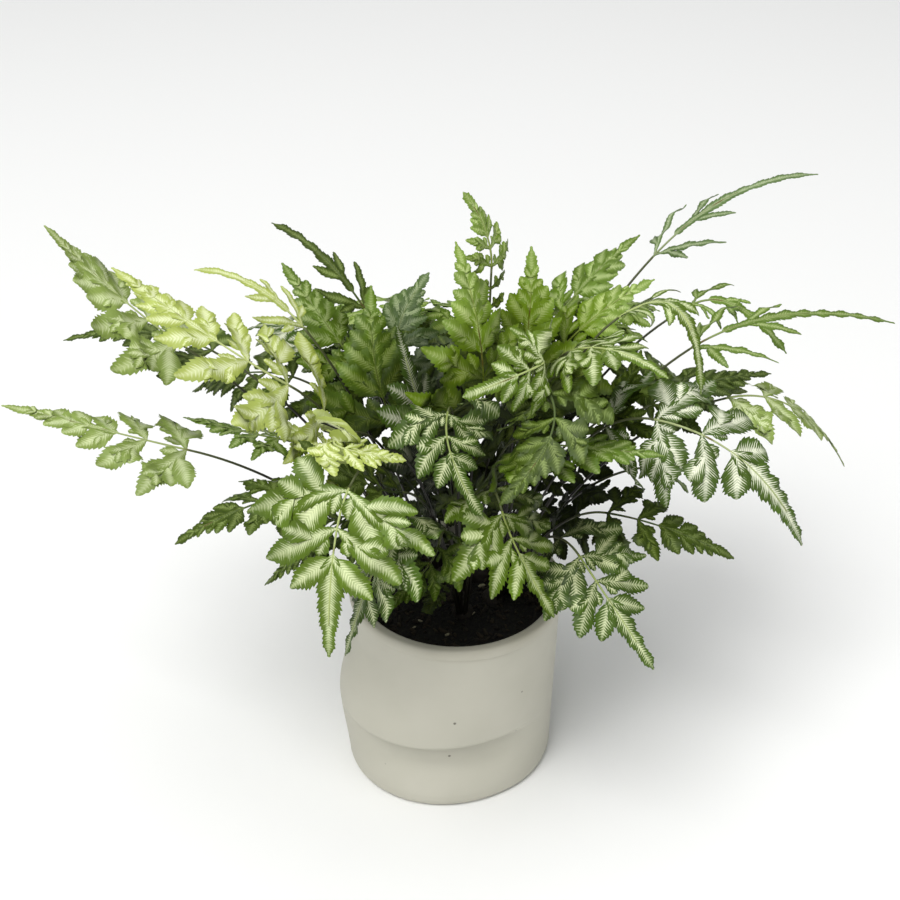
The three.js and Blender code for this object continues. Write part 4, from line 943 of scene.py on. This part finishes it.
def leaf_material(name, palette):
    """Fern leaf, grown: a soft waxy green skin with a dull sheen. A pale band lies along the midrib, and pale lines
    run on from it along the veins, each its own length, short of the green toothed margin. The underside is paler
    and plain. In the thick of the plant a leaf is painted darker and a deeper green, as painted shade, and here and
    there a rib is brown."""
    look = LOOKS[name]
    margin, middle, feather, rib, underside = palette
    material, tree = blank("leaf skin, waxy, " + name)
    fact = {key: node(tree, "Attribute", out="Fac", attribute_name=key)
            for key in ("vein", "across", "reach", "tint", "under", "stem", "outer")}
    place = node(tree, "TexCoord", out="Object")
    fray, blotch, grain = (node(tree, "TexNoise", {"Vector": place, "Scale": scale, "Detail": detail})
                           for scale, detail in ((VEIN_NOISE, 2.0), (BLOTCH_NOISE, 2.0), (GRAIN_NOISE, 1.0)))
    v = node(tree, "Math", {0: fact["across"]}, operation="ABSOLUTE")
    # How near to a vein, the veins swaying a little.
    swayed = node(tree, "Math", {0: fray, 1: 0.7, 2: fact["vein"]}, operation="MULTIPLY_ADD")
    shifted = node(tree, "Math", {0: swayed, 1: 0.15}, operation="ADD")
    off_vein = node(tree, "Math", {0: shifted, 1: 0.5}, operation="PINGPONG")
    line = node(tree, "MapRange", {"Value": off_vein, "From Min": 0.03, "From Max": 0.27, "To Min": 1.0,
                                   "To Max": 0.0}, interpolation_type="SMOOTHSTEP")
    # The pale lines, each with a length drawn for its vein.
    which = node(tree, "Math", {0: swayed, 1: -0.35}, operation="ADD")
    whole = node(tree, "Math", {0: which}, operation="FLOOR")
    seed = node(tree, "Math", {0: fact["tint"], 1: 97.0, 2: whole}, operation="MULTIPLY_ADD")
    chance = node(tree, "TexWhiteNoise", {"W": seed}, noise_dimensions="1D")
    length = node(tree, "MapRange", {"Value": chance, "To Min": look.line * 0.5, "To Max": look.line})
    left = node(tree, "Math", {0: length, 1: v}, operation="SUBTRACT")
    thin = node(tree, "MapRange", {"Value": left, "From Min": -0.10, "From Max": 0.30, "To Max": 1.0},
                interpolation_type="SMOOTHSTEP")
    lines = node(tree, "Math", {0: line, 1: thin}, operation="MULTIPLY")
    # The pale band, hollow between the veins.
    frayed = node(tree, "Math", {0: fray, 1: 0.45, 2: look.band - 0.225}, operation="MULTIPLY_ADD")
    own = node(tree, "Math", {0: fact["tint"], 1: 0.12, 2: frayed}, operation="MULTIPLY_ADD")
    inside = node(tree, "Math", {0: own, 1: v}, operation="SUBTRACT")
    band = node(tree, "MapRange", {"Value": inside, "From Min": -look.soft / 2, "From Max": look.soft / 2},
                interpolation_type="SMOOTHSTEP")
    hollow = node(tree, "MapRange", {"Value": chance, "To Min": 0.35, "To Max": 0.80})
    ridge = node(tree, "MapRange", {"Value": line, "To Min": hollow})
    ridged = node(tree, "Math", {0: band, 1: ridge}, operation="MULTIPLY")
    edge = node(tree, "Math", {0: lines, 1: ridged}, operation="MAXIMUM")
    taper = node(tree, "MapRange", {"Value": fact["reach"], "From Min": 0.70, "From Max": 1.0, "To Min": 1.0,
                                    "To Max": 0.35})
    pale = node(tree, "Math", {0: edge, 1: taper}, operation="MULTIPLY")
    outward = node(tree, "MapRange", {"Value": v, "From Min": 0.35, "From Max": 0.95})
    patch = node(tree, "MapRange", {"Value": blotch, "From Min": 0.35, "From Max": 0.7})
    worn = node(tree, "MapRange", {"Value": blotch, "From Min": 0.60, "From Max": 0.70})
    spot = node(tree, "Math", {0: worn, 1: fact["stem"]}, operation="MULTIPLY")
    below = node(tree, "Math", {0: fact["under"], 1: 0.75}, operation="MULTIPLY")
    skin = middle
    for share, over in ((outward, margin), (patch, middle), (pale, feather), (fact["stem"], rib),
                        (spot, colour("#6a5a34")), (below, underside)):
        skin = node(tree, "Mix", {"Factor": share, "A": skin, "B": over}, data_type="RGBA")
    own_value = node(tree, "MapRange", {"Value": fact["tint"], "To Min": 0.84, "To Max": 1.12})
    # Painted shade: towards the thick of the plant a leaf's value falls to 0.15 of its own.
    painted_shade_value = node(tree, "MapRange", {"Value": fact["outer"], "To Min": 0.15, "To Max": 1.0})
    value = node(tree, "Math", {0: own_value, 1: painted_shade_value}, operation="MULTIPLY")
    hue = node(tree, "MapRange", {"Value": blotch, "To Min": 0.49, "To Max": 0.508})
    # Painted shade: towards the thick of the plant a leaf's green is made up to 1.5 times as saturated.
    depth = node(tree, "MapRange", {"Value": fact["outer"], "To Min": 1.5, "To Max": 1.06})
    final = node(tree, "HueSaturation", {"Hue": hue, "Saturation": depth, "Value": value, "Color": skin})
    rough = node(tree, "MapRange", {"Value": grain, "To Min": 0.42, "To Max": 0.58})
    bump = node(tree, "Bump", {"Height": grain, "Strength": 0.35, "Distance": 0.00012})
    shader = node(tree, "BsdfPrincipled", {
        "Base Color": final, "Roughness": rough, "IOR": 1.45, "Specular IOR Level": 0.3, "Normal": bump,
        "Sheen Weight": 0.04, "Sheen Roughness": 0.5})
    node(tree, "OutputMaterial", {"Surface": shader})
    return material


def pot_material(base):
    """Polypropylene, injection moulded: a close matt skin with a soft broad highlight, faintly mottled, with
    a few dark specks and some dust from the soil."""
    material, tree = blank("polypropylene, moulded, off-white matt")
    place = node(tree, "TexCoord", out="Object")
    # Mottling of about 30 mm, a moulded grain of 0.7 mm, and specks 0.8 mm across some 20 mm apart.
    cloud, grain = (node(tree, "TexNoise", {"Vector": place, "Scale": scale, "Detail": detail})
                    for scale, detail in ((33.0, 3.0), (1400.0, 2.0)))
    near = node(tree, "TexVoronoi", {"Vector": place, "Scale": 60.0, "Randomness": 1.0})
    speck = node(tree, "MapRange", {"Value": near, "From Min": 0.035, "From Max": 0.055, "To Min": 0.75,
                                    "To Max": 0.0})
    pick = node(tree, "SeparateColor", {"Color": near.node.outputs["Color"]})
    few = node(tree, "Math", {0: pick, 1: 0.72}, operation="GREATER_THAN")
    specks = node(tree, "Math", {0: speck, 1: few}, operation="MULTIPLY")
    height = node(tree, "SeparateXYZ", {"Vector": place}, out="Z")
    dust = node(tree, "MapRange", {"Value": height, "From Min": 0.094, "From Max": 0.101, "To Min": 0.0,
                                   "To Max": 0.35})
    dusty = node(tree, "Math", {0: dust, 1: cloud}, operation="MULTIPLY")
    darker = tuple(c * k for c, k in zip(base[:3], (0.86, 0.87, 0.84))) + (1.0,)
    skin = base
    for share, over in ((cloud, darker), (dusty, colour("#8a7f66")), (specks, colour("#3d362b"))):
        skin = node(tree, "Mix", {"Factor": share, "A": skin, "B": over}, data_type="RGBA")
    rough = node(tree, "MapRange", {"Value": cloud, "To Min": 0.44, "To Max": 0.6})
    bump = node(tree, "Bump", {"Height": grain, "Strength": 0.25, "Distance": 0.0001})
    shader = node(tree, "BsdfPrincipled", {"Base Color": skin, "Roughness": rough, "IOR": 1.49, "Normal": bump})
    node(tree, "OutputMaterial", {"Surface": shader})
    return material


def soil_material(base):
    """Peat potting soil, loose: dull, nearly black, with brown fibres and a few pale chips."""
    material, tree = blank("peat potting soil, loose")
    place = node(tree, "TexCoord", out="Object")
    chip = node(tree, "Attribute", out="Fac", attribute_name="chip")
    # Crumbs and fibres of about 2 mm, and damp patches of about 9 mm.
    crumb, patch = (node(tree, "TexNoise", {"Vector": place, "Scale": scale, "Detail": detail})
                    for scale, detail in ((500.0, 4.0), (110.0, 2.0)))
    fibre = node(tree, "MapRange", {"Value": crumb, "From Min": 0.52, "From Max": 0.72})
    bark = node(tree, "MapRange", {"Value": chip, "From Min": 0.1, "From Max": 0.9, "To Max": 0.5})
    pale = node(tree, "Math", {0: chip, 1: 0.975}, operation="GREATER_THAN")
    skin = base
    for share, over in ((fibre, colour("#2b281c")), (patch, base), (bark, colour("#3b3122")),
                        (pale, colour("#8d8870"))):
        skin = node(tree, "Mix", {"Factor": share, "A": skin, "B": over}, data_type="RGBA")
    bump = node(tree, "Bump", {"Height": crumb, "Strength": 0.9, "Distance": 0.0006})
    shader = node(tree, "BsdfPrincipled", {"Base Color": skin, "Roughness": 0.92, "IOR": 1.4, "Normal": bump})
    node(tree, "OutputMaterial", {"Surface": shader})
    return material


def stalk_material(base, upper):
    """Fern stalk, grown: wiry and smooth, nearly black near the soil and olive green where the blade begins. The
    rootstock below is matt and scaly."""
    material, tree = blank("fern stalk, wiry, polished by growth")
    place = node(tree, "TexCoord", out="Object")
    up = node(tree, "Attribute", out="Fac", attribute_name="up")
    # Streaks of about 4 mm.
    streak = node(tree, "TexNoise", {"Vector": place, "Scale": 260.0, "Detail": 3.0})
    rise = node(tree, "MapRange", {"Value": up, "From Min": 0.72, "From Max": 1.0})
    tan = node(tree, "MapRange", {"Value": streak, "From Min": 0.5, "From Max": 0.8, "To Max": 0.5})
    knob = node(tree, "Math", {0: up, 1: 0.0}, operation="LESS_THAN")
    skin = base
    for share, over in ((rise, upper), (tan, colour("#3c3a20")), (knob, colour("#1f1910"))):
        skin = node(tree, "Mix", {"Factor": share, "A": skin, "B": over}, data_type="RGBA")
    rough = node(tree, "MapRange", {"Value": up, "From Min": -0.2, "From Max": 0.0, "To Min": 0.85, "To Max": 0.5})
    bump = node(tree, "Bump", {"Height": streak, "Strength": 0.4, "Distance": 0.0002})
    shader = node(tree, "BsdfPrincipled", {"Base Color": skin, "Roughness": rough, "IOR": 1.5, "Normal": bump})
    node(tree, "OutputMaterial", {"Surface": shader})
    return material


def floor_material(base):
    """Seamless paper, rolled: dead matt and almost white."""
    material, tree = blank("seamless paper, matt white")
    place = node(tree, "TexCoord", out="Object")
    fibre = node(tree, "TexNoise", {"Vector": place, "Scale": 900.0, "Detail": 1.0})
    rough = node(tree, "MapRange", {"Value": fibre, "To Min": 0.9, "To Max": 1.0})
    shader = node(tree, "BsdfPrincipled", {"Base Color": base, "Roughness": rough, "IOR": 1.3})
    node(tree, "OutputMaterial", {"Surface": shader})
    return material


# ---- properties ----
def swatch(name, description, value):
    """A colour with a name in the panel."""
    return bpy.props.FloatVectorProperty(name=name, description=description, default=value, size=4, min=0.0,
                                         max=1.0, subtype="COLOR")


class FernSizes(bpy.types.PropertyGroup):
    """Sizes a user might change."""
    fullness: bpy.props.FloatProperty(
        name="Leaflet fullness", description="Width of a leaflet against the CAD blade's", default=1.0, min=0.8,
        max=1.6, subtype="FACTOR")
    camera_distance: bpy.props.FloatProperty(
        name="Camera distance", description="From the camera to the middle of the pot's mouth", default=0.75,
        min=0.3, max=3.0, subtype="DISTANCE", unit="LENGTH")
    lens: bpy.props.FloatProperty(
        name="Lens", description="Focal length on a 36 mm sensor", default=61.5, min=20.0, max=200.0,
        subtype="DISTANCE_CAMERA", unit="CAMERA")


class FernColours(bpy.types.PropertyGroup):
    """Colours a user might change."""
    __annotations__ = {
        f"{look}_{part}": swatch(f"{look.capitalize()} {part}", f"Colour of the {part} of a {look} leaflet",
                                 colour(value))
        for look, values in LOOKS.items() for part, value in zip(LEAF_PARTS, values)
    } | {
        "pot": swatch("Pot", "Colour of the moulded pot", colour("#c6c3b5")),
        "soil": swatch("Soil", "Colour of the damp soil", colour("#0e0d09")),
        "stalk": swatch("Stalk", "Colour of a stalk near the soil", colour("#17140b")),
        "stalk_top": swatch("Stalk top", "Colour of a stalk where its blade begins", colour("#4c5426")),
        "floor": swatch("Floor", "Colour of the floor", colour("#f4f4f2")),
    }


# ---- operators ----
class FERN_OT_pot(bpy.types.Operator):
    """Makes the moulded pot in the place of its CAD solid"""
    bl_idname = "fern.pot"
    bl_label = "Pot"

    def execute(self, context):
        pot_skin().finish("fern_pot", pot_material(context.scene.fern_colours.pot[:]), "pot", ["pot"])
        return {"FINISHED"}


class FERN_OT_soil(bpy.types.Operator):
    """Fills the pot with crumbly soil and loose chips"""
    bl_idname = "fern.soil"
    bl_label = "Soil"

    def execute(self, context):
        skin = soil_skin(seeded(SOIL_SEED))
        skin.finish("fern_soil", soil_material(context.scene.fern_colours.soil[:]), "soil", ["soil"])
        return {"FINISHED"}


class FERN_OT_rootstocks(bpy.types.Operator):
    """Makes the rootstocks, each with the stalks that grow from it"""
    bl_idname = "fern.rootstocks"
    bl_label = "Rootstocks and stalks"

    def execute(self, context):
        colours = context.scene.fern_colours
        material = stalk_material(colours.stalk[:], colours.stalk_top[:])
        for index in range(len(CROWNS)):
            own = [line for line in LINES if line.crown == index]
            rootstock_skin(index, own).finish(f"fern_rootstock_{index + 1}", material, "stalk",
                                              [f"crown_{index + 1}"])
        return {"FINISHED"}


class FERN_OT_fronds(bpy.types.Operator):
    """Makes the blade of each frond from toothed and veined leaflets"""
    bl_idname = "fern.fronds"
    bl_label = "Fronds"

    def execute(self, context):
        colours = context.scene.fern_colours
        materials = {look: leaf_material(look, [getattr(colours, f"{look}_{part}")[:] for part in LEAF_PARTS])
                     for look in LOOKS}
        for index, line in enumerate(LINES):
            draws = seeded(FROND_SEED + FROND_SEED_STEP * index)
            skin = Skin()
            widen = context.scene.fern_sizes.fullness * LOOKS[line.look].fullness
            for leaflet in fine_leaflets(line, draws):
                add_leaflet(skin, line, leaflet, widen, draws)
            add_rachis(skin, line)
            skin.finish(f"fern_frond_{index + 1:02d}", materials[line.look], "leaf_" + line.frond["tone"],
                        [f"frond_{index + 1:02d}"])
        return {"FINISHED"}


class FERN_OT_stage(bpy.types.Operator):
    """Lays the floor and sets the lights and the camera"""
    bl_idname = "fern.stage"
    bl_label = "Floor, lights and camera"

    def execute(self, context):
        scene, sizes = context.scene, context.scene.fern_sizes
        ticks = np.linspace(-FLOOR_REACH, FLOOR_REACH, FLOOR_LINES)
        x, y = np.meshgrid(ticks, ticks)
        i = np.arange(FLOOR_LINES ** 2).reshape(FLOOR_LINES, FLOOR_LINES)
        mesh = bpy.data.meshes.new("floor")
        mesh.from_pydata(np.stack([x, y, 0 * x], -1).reshape(-1, 3).tolist(), [],
                         np.stack([i[:-1, :-1], i[:-1, 1:], i[1:, 1:], i[1:, :-1]], -1).reshape(-1, 4).tolist())
        mesh.materials.append(floor_material(scene.fern_colours.floor[:]))
        floor = bpy.data.objects.new("floor", mesh)
        scene.collection.objects.link(floor)
        world = bpy.data.worlds.new("studio")
        world.use_nodes = True
        sky = world.node_tree.nodes["Background"].inputs
        sky["Color"].default_value, sky["Strength"].default_value = colour("#f2f5fa"), SKY_STRENGTH
        scene.world = world
        for name, at, size, power in LIGHTS:
            light = bpy.data.lights.new(name, "AREA")
            light.energy, light.size = power, size
            lamp = bpy.data.objects.new(name, light)
            lamp.location = at
            lamp.rotation_euler = (Vector(LIT) - lamp.location).to_track_quat("-Z", "Y").to_euler()
            scene.collection.objects.link(lamp)
        camera = bpy.data.cameras.new("camera")
        camera.lens, camera.sensor_width = sizes.lens, 36.0
        camera.clip_start, camera.clip_end = 0.02, 30.0
        eye = bpy.data.objects.new("camera", camera)
        eye.location = Vector(MOUTH) + Vector(BACK) * sizes.camera_distance
        eye.rotation_euler = ((90 - CAMERA_PITCH) * RAD, 0, 0)
        scene.collection.objects.link(eye)
        scene.camera = eye
        scene.view_settings.view_transform = "Standard"
        return {"FINISHED"}


class FERN_PT_panel(bpy.types.Panel):
    """Lists the steps that make the fern"""
    bl_label = "Potted brake fern"
    bl_idname = "FERN_PT_panel"
    bl_space_type = "VIEW_3D"
    bl_region_type = "UI"
    bl_category = "Fern"

    def draw(self, context):
        for group in (context.scene.fern_sizes, context.scene.fern_colours):
            box = self.layout.box()
            for key in group.__annotations__:
                box.prop(group, key)
        for step_class in STEPS:
            self.layout.operator(step_class.bl_idname)


STEPS = (FERN_OT_pot, FERN_OT_soil, FERN_OT_rootstocks, FERN_OT_fronds, FERN_OT_stage)
CLASSES = (FernSizes, FernColours) + STEPS + (FERN_PT_panel,)


def register():
    for one in CLASSES:
        bpy.utils.register_class(one)
    bpy.types.Scene.fern_sizes = bpy.props.PointerProperty(type=FernSizes)
    bpy.types.Scene.fern_colours = bpy.props.PointerProperty(type=FernColours)


def unregister():
    del bpy.types.Scene.fern_colours
    del bpy.types.Scene.fern_sizes
    for one in reversed(CLASSES):
        bpy.utils.unregister_class(one)


def main():
    """Makes everything in order."""
    register()
    for one in STEPS:
        group, name = one.bl_idname.split(".")
        getattr(getattr(bpy.ops, group), name)()


if __name__ == "__main__":
    main()
